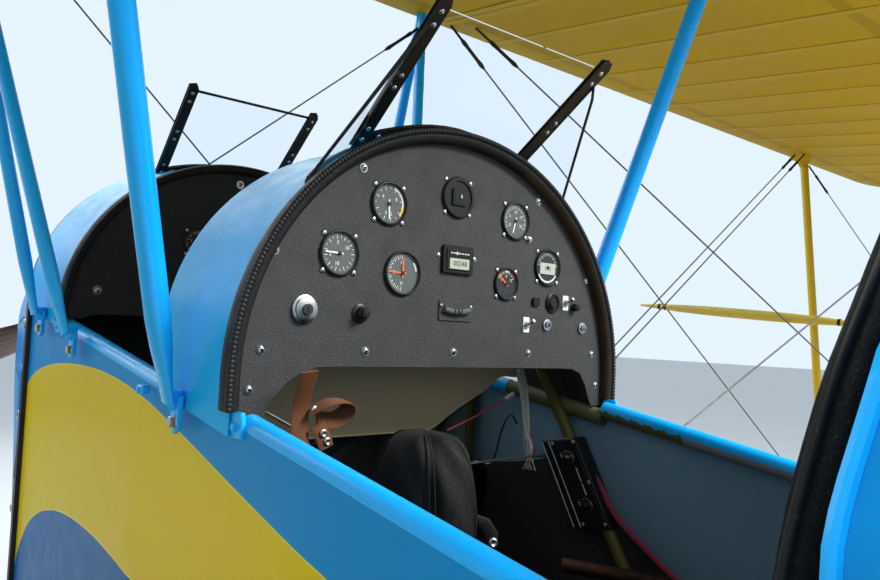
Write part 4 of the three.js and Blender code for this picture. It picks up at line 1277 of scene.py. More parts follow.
UPPER_FRAME = wing_frame(-0.74, 0.96)
LOWER_FRAME = wing_frame(-0.65, -0.683)


def chord_points(first, last):
    """The aerofoil's loop between two shares of the chord, squared off where it is cut."""
    over = [p for p in OVER if first <= p[0] <= last]
    under = [p for p in UNDER if first <= p[0] <= last]
    return over + under


def wing_point(x, share, height, end, dihedral, draw=0.0, sag=0.0):
    """A point of a wing panel in its own frame; end is where the round tip ends."""
    into = max(0.0, (x - (end - TIP)) / TIP) if end else 0.0
    keep = sqrt(max(0.0, 1 - 0.93 * into * into))
    front = CHORD * 0.36 * (1 - keep)
    chord = CHORD - draw - CHORD * (1 - keep) * 0.75
    depth = CHORD * WING_DEPTH * (0.25 + 0.75 * keep)
    dip = sag * min(1.0, 6 * share, 14 * (1 - share)) * (1 if height < 0.02 else -1)
    return Vector((x, front + share * chord, height * depth + dip + x * tan(dihedral)))


def wing_panel(form, x0, x1, sign, end=None, dihedral=0.0, first=0.0, last=1.0, bays=None):
    """Skin from x0 to x1 with taped ribs; first and last cut the chord."""
    bays = bays or max(1, round((x1 - x0) / RIB_PITCH))
    loop = chord_points(first, last)
    parts = 6
    rows = []
    for i in range(bays * parts + 1):
        x = x0 + (x1 - x0) * i / (bays * parts)
        bay = (i % parts) / parts
        belly = 4 * bay * (1 - bay)
        rows.append([
            wing_point(x, c, h, end, dihedral, SCALLOP * belly, SAG * belly) for c, h in loop
        ])
    if end and x1 >= end - 0.001:
        rows.append([wing_point(end, c, h * 0.3 + 0.05, end, dihedral) for c, h in loop])
    turned = [[Vector((sign * p.x, p.y, p.z)) for p in row] for row in rows]
    form.rows(turned, 0, ring=True, caps=True)
    # tapes over the ribs, top and bottom
    for i in range(bays + 1):
        x = x0 + (x1 - x0) * i / bays
        if i == 0:
            x += 0.014
        if i == bays:
            x -= 0.014
        for table, lift in ((OVER, 0.0007), (UNDER, -0.0007)):
            strip = [p for p in table if max(first, 0.01) <= p[0] <= last]
            tape = []
            for across in (-0.0125, -0.0115, 0.0115, 0.0125):
                raised = lift if abs(across) < 0.012 else 0.0
                tape.append([
                    wing_point(x + across, c, h, end, dihedral) + Vector((0, 0, raised))
                    for c, h in strip
                ])
            form.rows([[Vector((sign * p.x, p.y, p.z)) for p in row] for row in tape], 1)


def carried(form, name, frame_matrix, *materials, body="root", slot=None, smooth=32):
    """An object whose coordinates are the part's own frame, as its materials need."""
    made = form.build(name, *materials, body=None, smooth=smooth, slot=slot)
    made.matrix_world = frame_matrix
    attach(made, body)
    return made


form = Form()
wing_panel(form, -0.625, 0.625, 1, bays=6)
form = carried(form, "upper_wing_middle", UPPER_FRAME, wing_yellow, tape_yellow, slot="yellow_fabric")
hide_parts("upper_wing_centre")
WING_END = 3.8
LOWER_END = 3.74
for side, sign in SIDES:
    form = Form()
    wing_panel(form, 0.6265, WING_END, sign, WING_END, bays=15)
    form = carried(form, "upper_wing_skin_" + side, UPPER_FRAME, wing_yellow, tape_yellow,
                   slot="yellow_fabric")
    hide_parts("upper_wing_" + side)
    form = Form()
    wing_panel(form, 0.3415, 1.483, sign, LOWER_END, DIHEDRAL)
    wing_panel(form, 1.4835, 3.4965, sign, LOWER_END, DIHEDRAL, last=0.761)
    wing_panel(form, 3.497, LOWER_END, sign, LOWER_END, DIHEDRAL)
    form = carried(form, "lower_wing_skin_" + side, LOWER_FRAME, wing_yellow, tape_yellow,
                   slot="yellow_fabric")
    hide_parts("lower_wing_" + side)
    form = Form()
    wing_panel(form, 1.5, 3.48, sign, LOWER_END, DIHEDRAL, first=0.7734)
    for ends in ((1.485, 1.52), (3.46, 3.495)):
        hinge = [Vector((sign * x, 1.091, x * tan(DIHEDRAL) + 0.034)) for x in ends]
        form.tube(hinge, 0.006, 2)
    horn = [Vector((sign * 2.75, 1.11, 0.058)), Vector((sign * 2.75, 1.12, -0.02))]
    form.tube(horn, [0.005, 0.0035], 2, 8)
    form = carried(form, "aileron_skin_" + side, LOWER_FRAME, wing_yellow, tape_yellow, dark_steel,
                   body="aileron_" + side, slot="yellow_fabric")
    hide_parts("aileron_" + side)

# Interplane struts, wires and javelins
# Round steel tubes in yellow; stainless bracing wires with sleeves at their ends;
# a spruce spreader ties the wires where they cross.
BAY_X = 2.765
SPACING = 0.86
CABANE_Y = -0.793
SPAR_Y = -0.65
UNDER_WING = 0.96
javelin_wood = enamel("javelin_wood", linear(200, 178, 70), 0.4, 0.4)
wire_steel = enamel("wire_steel", linear(96, 97, 99), 0.4, 0.4)
sleeve_black = enamel("sleeve_black", linear(14, 14, 15), 0.4, 0.1)


def between(name, top, bottom):
    """The stretch of a line that lies between its CAD node's lowest and highest point."""
    low, high = [bottom.lerp(top, (end.z - bottom.z) / (top.z - bottom.z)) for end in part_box(name)]
    return low, high


WIRES = {
    # top and bottom, from the panel
    "front_flying_wire": ((BAY_X - 0.05, CABANE_Y, 0.99), (0.346, -0.662, -0.538)),
    "rear_flying_wire": ((BAY_X - 0.05, CABANE_Y + SPACING, 0.9), (0.346, -0.45, -0.533)),
    "front_landing_wire": ((0.625, CABANE_Y - 0.02, 1.0), (BAY_X - 0.065, SPAR_Y - 0.02, -0.548)),
    "rear_landing_wire": (
        (0.68, CABANE_Y + 0.02, 0.99), (BAY_X - 0.065, SPAR_Y + SPACING - 0.01, -0.678)
    ),
}
WIRE = 0.0024


def sleeve(form, end, other, size=0.0065, start=0.05, long=0.11):
    """A turnbuckle on a wire, near its end."""
    way = (other - end).normalized()
    spots = (0.0, 0.12, 0.3, 0.7, 0.88, 1.0)
    sizes = (0.5, 1.0, 0.78, 0.78, 1.0, 0.5)
    form.tube([end + way * (start + long * s) for s in spots], [size * s for s in sizes], 1, 10)
    form.tube([end, end + way * start], WIRE * 1.5, 1, 8)


for side, sign in SIDES:
    for tag, aft in (("front", 0.0), ("rear", SPACING)):
        name = f"{tag}_interplane_strut_{side}"
        head = spot(sign * BAY_X, CABANE_Y + aft, UNDER_WING + 0.04)
        foot = spot(sign * (BAY_X - 0.015), SPAR_Y + aft, -0.713)
        low, high = between(name, head, foot)
        form = Form()
        strut(form, low, high, 0.0168, 0.8, 0.8, slim=0.95)
        # the fabric is drawn down round the strut's head, and up round its foot
        for end, way in ((high, -1), (low, 1)):
            form.lathe([(0.06, 0.004 * way), (0.04, 0.01 * way), (0.026, 0.022 * way),
                        (0.0175, 0.04 * way), (0.0165, 0.042 * way)],
                       Matrix.Translation(end), 1, 24)
        form = form.build(f"{tag}_strut_tube_{side}", strut_yellow, wing_yellow, slot="yellow_paint")
        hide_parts(name)
    for tag, ends in WIRES.items():
        low, high = between(f"{tag}_{side}", *[spot(sign * x, y, z) for x, y, z in ends])
        form = Form()
        form.tube([low, high], WIRE, 0, 10)
        sleeve(form, high, low)
        sleeve(form, low, high, start=0.03, long=0.08)
        if tag == "front_flying_wire":
            beside = Vector((0, 0.045, 0))
            form.tube([low + beside, high + beside], WIRE, 0, 10)
            sleeve(form, high + beside, low + beside, start=0.09)
        form = form.build(f"{tag}_rod_{side}", wire_steel, sleeve_black, slot="stay_wire")
        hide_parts(f"{tag}_{side}")
    front, back = spot(sign * 1.655, -0.85, 0.246), spot(sign * 1.674, -0.07, 0.19)
    form = Form()
    taper = [0.0035, 0.0085, 0.0125, 0.0148, 0.0158]
    sizes = taper + [0.016] + taper[::-1]
    form.tube([front.lerp(back, i / 10) for i in range(11)], sizes, 0, 16)
    way = (back - front).normalized() * 0.004
    for share in (0.1, 0.13, 0.88, 0.91):
        middle = front.lerp(back, share)
        form.tube([middle - way, middle + way], 0.0105, 1, 16)
    form = form.build("javelin_spindle_" + side, javelin_wood, sleeve_black, slot="yellow_paint")
    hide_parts("javelin_" + side)
    # incidence wires cross between the two struts, and the cabane has a pair across it
    form = Form()
    x = sign * (BAY_X - 0.008)
    crossings = [
        (spot(x, CABANE_Y + 0.03, 0.93), spot(x, SPAR_Y + SPACING - 0.03, -0.54)),
        (spot(x, CABANE_Y + SPACING - 0.03, 0.84), spot(x, SPAR_Y + 0.03, -0.5)),
        (spot(sign * 0.56, -0.795, 0.945), spot(-sign * 0.352, -0.9, 0.175)),
    ]
    for high, low in crossings:
        form.tube([low, high], WIRE * 0.8, 0, 8)
        sleeve(form, high, low, 0.0055)
    form.build("cross_wires_" + side, wire_steel, sleeve_black)

# Belly and cockpit floor
# Painted fabric, stretched under the lower longerons and sewn to the sides.
# Birch plywood boards are screwed down on the tubes inside it.


def plywood():
    made, tree, shader = material("plywood")
    grain = noise(tree, 26, 5, 0.6, stretch=(9, 0.6, 9))
    base = mixed(tree, spread(tree, grain, 0.0, 1.0), linear(150, 112, 70), linear(112, 80, 46))
    worn(tree, shader, base, 0.55)
    bump(tree, shader, grain, 0.0004, 0.3)
    return made


ply = plywood()
form = Form()
for lift, number in ((0.0, 0), (0.012, 1)):
    rows = []
    for i in range(34):
        y = FIREWALL + (BULKHEAD - FIREWALL) * i / 33
        row = []
        for j in range(25):
            share = j / 24
            ribs = abs(sin(pi * 4 * share)) ** 0.6 * 0.004 * (1 if number else 0.8)
            row.append(spot(-0.3195 + 0.639 * share, y, floor_line(y) + lift + ribs))
        rows.append(row)
    form.rows(rows, number)
form = form.build("belly_skin", painted_side, inner_cloth, slot="blue_fabric")
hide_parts("belly")
form = Form()
for y0, y1 in ((-0.9, -0.46), (-0.455, -0.02), (-0.015, 0.44)):
    middle = (y0 + y1) / 2
    slope = (floor_line(y1) - floor_line(y0)) / (y1 - y0)
    at = place_at(0, middle, floor_line(middle) + 0.0175) @ Matrix.Rotation(
        atan(slope), 4, "X"
    )
    form.plate(rounded(0.6, (y1 - y0) - 0.004, 0.02), 0.006, at, 0, 0.001)
    for x in (-0.27, 0.0, 0.27):
        for y in (-0.19, 0.19):
            screw(form, at @ Vector((x, y, 0.006)), (0, 0, 1), 0.004, 1)
form.build("floor_boards", ply, steel)

# Aft fuselage
# The welded frame narrows to the stern post, and stringers hold it off the fabric,
# which lies in long painted facets with a tape along each longeron.
STERN_HALF = 0.028


def half_at(y):
    """Half the aft fuselage's width."""
    share = max(0.0, (y - BULKHEAD) / (STERN - BULKHEAD))
    return HALF + (STERN_HALF - HALF) * share


def facet_dip(share, ridges, depth):
    """How far cloth dips between evenly spaced stringers."""
    return depth * abs(sin(pi * ridges * share)) ** 0.7


form = Form()
rows = []
AFT_STEPS = 64
AFT_FROM = BULKHEAD + 0.0006
for i in range(AFT_STEPS + 1):
    y = AFT_FROM + (STERN - AFT_FROM) * i / AFT_STEPS
    half, low, high = half_at(y), floor_line(y), rail(y)
    ease = 1 - 0.8 * i / AFT_STEPS
    bay = 0.0016 * abs(sin(pi * i / 8)) ** 0.5 * ease
    wall = []
    for j in range(25):
        share = j / 24
        dip = facet_dip(share, 4, 0.0045 * ease) + bay * sin(pi * share)
        wall.append((half - dip, low + (high - low) * share))
    row = [spot(x, y, z) for x, z in wall]
    row += [spot(half * (1 - k / 4), y, high - 0.001) for k in range(1, 8)]
    row += [spot(-x, y, z) for x, z in reversed(wall)]
    row += [spot(-half * (1 - k / 8), y, low + facet_dip(k / 16, 2, 0.003)) for k in range(1, 16)]
    rows.append(row)
form.rows(rows, 0, ring=True, caps=True)
# finishing tapes along the longerons
for sign in (1, -1):
    for height in (0.012, 0.988):
        strip = []
        for i in range(AFT_STEPS + 1):
            y = BULKHEAD + 0.003 + (STERN - BULKHEAD - 0.01) * i / AFT_STEPS
            low, high = floor_line(y), rail(y)
            middle = low + (high - low) * height
            x = sign * (half_at(y) + 0.0007)
            strip.append([spot(x, y, middle + lift) for lift in (-0.018, 0.018)])
        form.rows(strip, 1)
heel = Form()
TAIL_FRAME = place_at(0, STERN, rail(STERN))
TAIL_FRAME = TAIL_FRAME @ Matrix.Rotation(radians(-9), 4, "X")
pad = [(-0.014, -0.03), (0.014, -0.03), (0.014, 0.07), (0.008, 0.08), (-0.008, 0.08),
       (-0.014, 0.07)]
heel.plate(pad, 0.013, TAIL_FRAME @ shifted(0, 0, -0.2195), 0, 0.002)
tape_blue = enamel("tape_blue", linear(0, 124, 200), 0.35, 0.3)
form = form.build("aft_skin", painted_side, tape_blue, slot="blue_fabric")
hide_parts("aft_fuselage")
heel.build("rudder_heel", dark_steel)

# Turtledeck
# Painted fabric over spruce stringers, which are let into plywood formers.
# It is closed ahead by a painted bulkhead with a rolled lip.
TURTLE = [(0.6726, 0.4), (1.1, 0.345), (1.7, 0.25), (2.6, 0.14), (3.56, 0.025)]


def along_table(table, at):
    """A value between a table's rows, smoothed through them."""
    if at <= table[0][0]:
        return table[0][1]
    for k in range(len(table) - 1):
        if at <= table[k + 1][0]:
            break
    x0, y0 = table[k]
    x1, y1 = table[k + 1]

    def slope(i):
        a, b = table[max(i - 1, 0)], table[min(i + 1, len(table) - 1)]
        return (b[1] - a[1]) / (b[0] - a[0])

    long = x1 - x0
    t = (at - x0) / long
    return ((2 * t**3 - 3 * t**2 + 1) * y0 + (t**3 - 2 * t**2 + t) * long * slope(k)
            + (3 * t**2 - 2 * t**3) * y1 + (t**3 - t**2) * long * slope(k + 1))


def along_rows(rows, at):
    """Each further value of a table's rows, smoothed at a first value."""
    return [along_table([(row[0], row[k]) for row in rows], at) for k in range(1, len(rows[0]))]


form = Form()
rows = []
STRINGERS = 11
for i in range(49):
    y = TURTLE[0][0] + (TURTLE[-1][0] - TURTLE[0][0]) * i / 48
    tall = along_table(TURTLE, y)
    half = half_at(y)
    row = []
    for j in range(STRINGERS * 6 + 1):
        share = j / (STRINGERS * 6)
        angle = pi * share
        dip = 1 - facet_dip(share, STRINGERS, 0.013)
        z = rail(y) + 0.0015 + tall * sin(angle) * dip
        lean = 0.13 * max(0.0, z - 0.03) * max(0.0, 1 - i / 8)
        row.append(spot(half * cos(angle) * dip, y + lean, z))
    rows.append(row)
form.rows(rows, 0)
form.rows([rows[0], [spot(0.0, TURTLE[0][0], rail(BULKHEAD) + 0.05)] * len(rows[0])], 1)
form.rows([rows[-1], [spot(0.0, TURTLE[-1][0], rail(TURTLE[-1][0]) + 0.002)] * len(rows[-1])], 0)
lip = [p + Vector((0, -0.002, 0)) for p in rows[0]]
form.tube(lip, 0.006, 2, 8)
form = form.build("turtledeck_skin", painted_side, deck_blue, frame_blue, slot="blue_fabric")
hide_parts("turtledeck")

# Firewall and cowling
# A stainless firewall with a rubber seal, and a glossy alloy and glass-fibre cowling
# with hinged top panels, louvres, quick fasteners and two cooling inlets.
THRUST_PITCH = radians(7)
THRUST_Z = -0.0035
COWL = [
    # along the thrust line: half-width, below it, straight side, above it, corner
    (0.0156, 0.348, 0.622, 0.709, 0.454, 0.03),
    (0.23, 0.295, 0.547, 0.617, 0.414, 0.07),
    (0.48, 0.243, 0.427, 0.477, 0.349, 0.12),
    (0.7, 0.204, 0.287, 0.282, 0.254, 0.18),
    (0.78, 0.182, 0.222, 0.22, 0.209, 0.176),
    (0.818, 0.163, 0.184, 0.184, 0.179, 0.16),
]
NOSE_FRAME = place_at(0, FIREWALL, THRUST_Z) @ Matrix.Rotation(-THRUST_PITCH, 4, "X")
COWL_JOINT = 0.035  # where the cowling's aft screws are, along the thrust line


def thrust_line(along):
    """y and z of a place on the thrust line, ahead of the firewall."""
    return FIREWALL - along * cos(THRUST_PITCH), THRUST_Z + along * sin(THRUST_PITCH)


def nose_section(along, inset=0.0):
    """The cowling's section as a loop from the bottom's middle, in the nose's place."""
    half, below, straight, above, corner = along_rows(COWL, along)
    y, z = thrust_line(along)
    half, low, top = half - inset, z - below + inset, z + above - inset
    shoulder = z - below + straight
    corner = min(corner, half * 0.99, shoulder - low - 0.001)
    port = [(half * 0.4 * k / 3, low) for k in range(1, 3)] if corner < half * 0.5 else []
    for i in range(9):
        angle = pi / 2 * i / 8
        out, up = sin(angle), cos(angle)
        port.append((half - corner + corner * out, low + corner - corner * up))
    for i in range(1, 6):
        port.append((half, low + corner + (shoulder - low - corner) * i / 6))
    for i in range(14):
        angle = pi / 2 * i / 14
        port.append((half * cos(angle), shoulder + (top - shoulder) * sin(angle)))
    while len(port) < 30:
        port.insert(0, (port[0][0] * 0.5, low))
    port = port[-30:]
    loop = [(0.0, low)] + port + [(0.0, top)] + [(-x, z) for x, z in reversed(port)]
    return [spot(x, y, z) for x, z in loop]


form = Form()
COWL_STEPS = 30
COWL_LONG = COWL[-1][0] - COWL[0][0]
alongs = [COWL[0][0] + COWL_LONG * (i / COWL_STEPS) ** 0.85 for i in range(COWL_STEPS + 1)]
form.rows([nose_section(a) for a in alongs], 0, ring=True)
form.rows([nose_section(a, 0.004) for a in alongs], 1, ring=True)
form.rows([nose_section(alongs[0]), nose_section(alongs[0], 0.004)], 1, ring=True)
# the nose bowl turns in to a flat ring round the shaft, with an inlet on each side
front = [nose_section(alongs[-1])]
for depth, share in ((0.004, 0.97), (0.004, 0.93), (-0.004, 0.88), (-0.01, 0.6), (-0.01, 0.36)):
    middle = spot(0, *thrust_line(alongs[-1] + depth))
    front.append([
        middle + Vector((p.x * share, 0, (p.z - middle.z) * share)) for p in front[0]
    ])
form.rows(front, 0, ring=True)
for sign in (1, -1):
    at = NOSE_FRAME @ shifted(sign * 0.104, -0.81, 0.0)
    at = at @ Matrix.Rotation(pi / 2, 4, "X")
    inlet = [(0.033 * x, 0.06 * y) for x, y in circle(1, 24)]
    # each inlet is a near-black plate in its lip: a dark screen, and painted shade for the opening behind
    # it
    form.plate(inlet, 0.008, at, 1, 0.002)
    form.tube([at @ Vector((u, v, 0.009)) for u, v in inlet + inlet[:1]], 0.005, 0, 8)
# seams, louvres and fasteners
SEAM = 0.0013
for sign in (1, -1):
    for lift in (0.0, -0.3):
        line = []
        for a in alongs[:22]:
            half, below, straight = along_rows(COWL, a)[:3]
            y, z = thrust_line(a)
            z += straight - below + lift * (1 - a)
            line.append(spot(sign * (half + 0.0002), y, z))
        form.tube(line, SEAM, 1, 6)
    for k in range(7):
        a = 0.16 + 0.032 * k
        half = along_rows(COWL, a)[0]
        at = facing(spot(sign * (half - 0.0005), thrust_line(a)[0], -0.06), (sign, 0, 0))
        form.plate(rounded(0.016, 0.11, 0.007), 0.0045, at, 0, 0.002)
        # painted shade: each louvre's slit is a near-black plate over its opening
        slit = rounded(0.005, 0.096, 0.002, 2)
        form.plate(slit, 0.001, at @ shifted(0.006 * sign, 0, 0.0032), 1)
    for k in range(4):
        half = along_rows(COWL, COWL_JOINT)[0]
        at = spot(sign * (half + 0.0005), FIREWALL - COWL_JOINT, -0.46 + 0.185 * k)
        form.lathe([(0.009, 0.0), (0.0086, 0.0016), (0.006, 0.0022), (0.0001, 0.002)],
                   facing(at, (sign, 0, 0)), 2, 18)
        # painted shade: the fastener's slot is a near-black bar for its recess
        form.plate(rounded(0.0014, 0.01, 0.0004, 2), 0.0006,
                   facing(at + Vector((sign * 0.0018, 0, 0)), (sign, 0, 0), 0.6), 1)
for k in range(1, 12):
    angle = pi * k / 12
    half, below, straight, above, corner = along_rows(COWL, COWL_JOINT)
    z = thrust_line(COWL_JOINT)[1]
    base = z - below + straight
    out = Vector((cos(angle), 0, sin(angle)))
    at = spot(half * out.x, FIREWALL - COWL_JOINT, base + (z + above - base) * out.z)
    form.lathe([(0.0082, 0.0), (0.0078, 0.002), (0.0001, 0.0024)], facing(at, out), 2, 16)
painted_cowl = side_paint("painted_cowl")
form = form.build(
    "cowling_skin", painted_cowl, black_inside_and_shade, steel, smooth=38, slot="blue_paint"
)
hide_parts("cowling")
form = Form()
rows = []
for back, grow in ((0.0003, -0.004), (0.0015, 0.0), (0.013, 0.0), (0.0145, -0.004)):
    y = FIREWALL - back
    half, low, top = SKIRT + grow, floor_line(FIREWALL) - grow, FIREWALL_ARCH[1] + grow
    base = rail(FIREWALL)
    loop = [(half - 0.02, low), (half, low + 0.02)]
    loop += [(half, low + (base - low) * k / 6) for k in range(1, 6)]
    loop += [(half * x, base + (top - base) * z) for x, z in circle(1, 72)[:37]]
    loop += [(-half, base - (base - low) * k / 6) for k in range(1, 6)]
    loop += [(-half, low + 0.02), (-half + 0.02, low)]
    rows.append([spot(x, y, z) for x, z in loop])
form.rows(rows, 0, ring=True, caps=True)
form = form.build("firewall_plate", black_steel, slot="bare_aluminium")
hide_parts("firewall")
form = Form()
for sign in (1, -1):
    # exhaust stubs turn down and aft under the cowling
    path = [spot(sign * x, y, z) for x, y, z in (
        (0.15, -1.25, -0.4), (0.155, -1.245, -0.47), (0.158, -1.215, -0.535),
        (0.16, -1.16, -0.575), (0.16, -1.08, -0.6),
    )]
    form.tube(path, 0.022, 0, 16, caps=False)
    form.tube(path, 0.0195, 1, 16, caps=False)
    lips = [[path[-1] + Vector((x, 0, z)) for x, z in circle(r, 16)] for r in (0.0195, 0.022)]
    form.rows(lips, 0, ring=True)
form.build("exhaust_stubs", metal("exhaust_steel", linear(128, 104, 84), 0.5), black_inside_and_shade)

# Engine
# A small flat four: a cast crankcase and sump, four finned cylinders bolted to its sides,
# and the steel propeller shaft.
cast_metal = metal("cast_metal", linear(140, 141, 142), 0.55, grain=220)
form = Form()
form.plate(rounded(0.15, 0.44, 0.04), 0.19, shifted(0, -0.31, -0.1), 0, 0.015)
form.plate(rounded(0.12, 0.1, 0.02), 0.06, shifted(0, -0.062, -0.03), 0, 0.006)
form.plate(rounded(0.2, 0.3, 0.03), 0.13, shifted(0, -0.28, -0.229), 0, 0.02)
shaft = [(0, y, 0) for y in (-0.53, -0.6, -0.84)]
form.tube(shaft, [0.075, 0.038, 0.0375], 1, 24)
for sign in (1, -1):
    for y in (-0.24, -0.42):
        profile = [(0.0001, 0.0)]
        for k in range(9):
            height = 0.008 + 0.01 * k
            fin = ((0.044, 0.0), (0.064, 0.0015), (0.064, 0.0035), (0.044, 0.005))
            profile += [(radius, height + up) for radius, up in fin]
        profile += [(0.055, 0.096), (0.052, 0.106), (0.0001, 0.108)]
        at = shifted(sign * 0.062, y, 0.02) @ Matrix.Rotation(sign * pi / 2, 4, "Y")
        form.lathe(profile, at, 0, 20)
        pipe = [(sign * x, y, z) for x, z in ((0.09, -0.05), (0.15, -0.04), (0.165, 0.0))]
        form.tube(pipe, 0.009, 1, 8)
form = carried(form, "engine_block", NOSE_FRAME, cast_metal, dark_steel, slot="engine_metal")
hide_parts("engine")

# Propeller and spinner
# Two laminated wooden blades under clear varnish with a metal leading edge, on a bolted
# hub, behind a spun alloy spinner.
NOSE_LONG = 0.8853
BLADE_REST = radians(112)
BLADES = [
    # radius: chord, thickness, angle in degrees
    (0.04, 0.098, 0.058, 40), (0.16, 0.12, 0.038, 36), (0.42, 0.135, 0.022, 24),
    (0.7, 0.11, 0.014, 16), (0.82, 0.082, 0.01, 13.5), (0.868, 0.04, 0.006, 12),
]


def varnished_wood():
    made, tree, shader = material("varnished_wood", Coat_Weight=0.8, Coat_Roughness=0.05)
    place = wire(tree, "TexCoord").outputs["Object"]
    layers = wire(
        tree,
        "TexWave",
        {"Vector": place, "Scale": 28, "Distortion": 1.6, "Detail": 3, "Detail Scale": 0.6},
        bands_direction="Y",
    ).outputs["Fac"]
    grain = noise(tree, 60, 4, 0.6, stretch=(6, 6, 0.4))
    bands = spread(tree, layers, 0.0, 1.0, 0.3, 0.7)
    base = mixed(tree, bands, linear(128, 70, 30), linear(84, 40, 16))
    base = mixed(tree, spread(tree, grain, 0.0, 0.5), base, linear(58, 28, 12))
    worn(tree, shader, base, 0.3)
    bump(tree, shader, grain, 0.0002, 0.2)
    return made


def blade_ring(radius):
    """A blade's section at a radius, thinner behind than ahead."""
    chord, thick, angle = along_rows(BLADES, radius)
    turn = radians(angle)
    ring = []
    for k in range(24):
        phase = 2 * pi * k / 24
        c = -0.5 * cos(phase)
        t = sin(phase)
        lift = 0.48 if t > 0 else 0.3
        through = t * lift * (1 - 0.45 * (c + 0.5)) * thick
        across = c * chord
        ring.append(Vector((across * cos(turn) - through * sin(turn),
                            -NOSE_LONG - across * sin(turn) - through * cos(turn), radius)))
    return ring


form = Form()
radii = [0.03 + 0.838 * (i / 34) for i in range(35)]
for sign in (1, -1):
    turned_over = Matrix.Rotation(BLADE_REST + (0 if sign > 0 else pi), 4, "Y")
    rows = [[turned_over @ p for p in blade_ring(r)] for r in radii]
    form.rows(rows, 0, ring=True, caps=True)
    # the metal strip follows the leading edge of the outer half
    edge_rows = []
    for r in radii[16:]:
        middle = Vector((0, -NOSE_LONG, r))
        nose = [blade_ring(r)[k] for k in (22, 23, 0, 1, 2)]
        edge_rows.append([turned_over @ (p + (p - middle).normalized() * 0.0006) for p in nose])
    form.rows(edge_rows, 1)
hub = shifted(0, -NOSE_LONG + 0.0447, 0) @ Matrix.Rotation(pi / 2, 4, "X")
boss = [(0.0001, 0.0), (0.066, 0.0), (0.0698, 0.005), (0.0698, 0.08), (0.066, 0.085),
        (0.0001, 0.085)]
form.lathe(boss, hub, 0, 40)
form.lathe([(0.0001, 0.085), (0.056, 0.085), (0.056, 0.0894), (0.0001, 0.0896)], hub, 1, 36)
form = carried(form, "propeller_wood", NOSE_FRAME, varnished_wood(), steel, body="propeller", slot="wood")
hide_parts("propeller")
form = Form()
at = shifted(0, -NOSE_LONG - 0.0454, 0) @ Matrix.Rotation(pi / 2, 4, "X")
form.lathe([(0.0001, 0.0), (0.129, 0.0), (0.13, 0.002), (0.1285, 0.012), (0.126, 0.03), (0.118, 0.06),
            (0.105, 0.092), (0.088, 0.12), (0.066, 0.148), (0.043, 0.171), (0.022, 0.187), (0.008, 0.194),
            (0.0001, 0.1948)], at, 0, 48)
SPINNER_SCREWS = 0.1282
for x, y in circle(1, 10):
    place = at @ Vector((SPINNER_SCREWS * x, SPINNER_SCREWS * y, 0.014))
    out = (at.to_3x3() @ Vector((x, y, 0.06))).normalized()
    screw(form, place, out, 0.004, 1)
form = carried(form, "spinner_shell", NOSE_FRAME, deck_blue, steel, body="propeller", slot="blue_paint")
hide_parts("spinner")

# Main gear
# Streamlined steel tubes in two V frames, sprayed blue, with a stub axle on each side
# and rubber cord wound over the springing joint.
WHEEL_X = 0.76
WHEEL_Y = -0.8
AXLE_Z = 0.218 - RAIL_Z
SPRING_RADIUS = 0.0285

for side, sign in SIDES:
    form = Form()
    stub = spot(sign * (WHEEL_X - 0.085), WHEEL_Y, AXLE_Z)
    for x, y in ((0.26, -0.845), (0.26, -0.33), (0.07, -0.78)):
        top = spot(sign * x, y, floor_line(y) - 0.002)
        way = (stub - top).normalized()
        path = [top + way * 0.004] + [top.lerp(stub, share) for share in (0.12, 0.5, 0.9, 1)]
        form.tube(path, [0.0165, 0.018, 0.018, 0.018, 0.016], 0, 18, flatten=0.62, up=(0, 0, 1))
        form.tube([top + way * 0.002, top + way * 0.03], 0.0185, 1, 16)

    def on_axle(out):
        return spot(sign * (WHEEL_X + out), WHEEL_Y, AXLE_Z)

    form.tube([on_axle(-0.115), on_axle(-0.081)], SPRING_RADIUS, 1, 24)
    for k in range(7):
        at = on_axle(-0.113 + 0.004 * k)
        coil = []
        for y, z in circle(1, 20) + [(1, 0)]:
            coil.append([
                at + Vector((sign * 0.0017 * a, 0, 0))
                + (SPRING_RADIUS + 0.0012 + 0.0014 * b) * Vector((0, y, z))
                for a, b in circle(1, 4)
            ])
        form.rows(coil, 2, ring=True)
    form.tube([on_axle(-0.109), on_axle(0.0655)], 0.0148, 1, 24)
    form.tube([on_axle(0.0535), on_axle(0.063)], 0.021, 1, 6)
    form = form.build("gear_legs_" + side, frame_blue, steel, cord_black, slot="blue_paint")
    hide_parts("main_gear_" + side)

# Wheels
# Cast alloy hubs of two bolted halves, with a brake disc inboard.
# The low-pressure tyres are moulded rubber with ribs round their tread.


def rubber(name):
    made, tree, shader = material(name, Specular_IOR_Level=0.25)
    scuffs = noise(tree, 40, 6, 0.6)
    scuffed = spread(tree, scuffs, 0.0, 0.6, 0.45, 0.7)
    base = mixed(tree, scuffed, linear(22, 22, 23), linear(70, 66, 60))
    worn(tree, shader, base, 0.8)
    bump(tree, shader, noise(tree, 420, 3), 0.0003, 0.4)
    return made


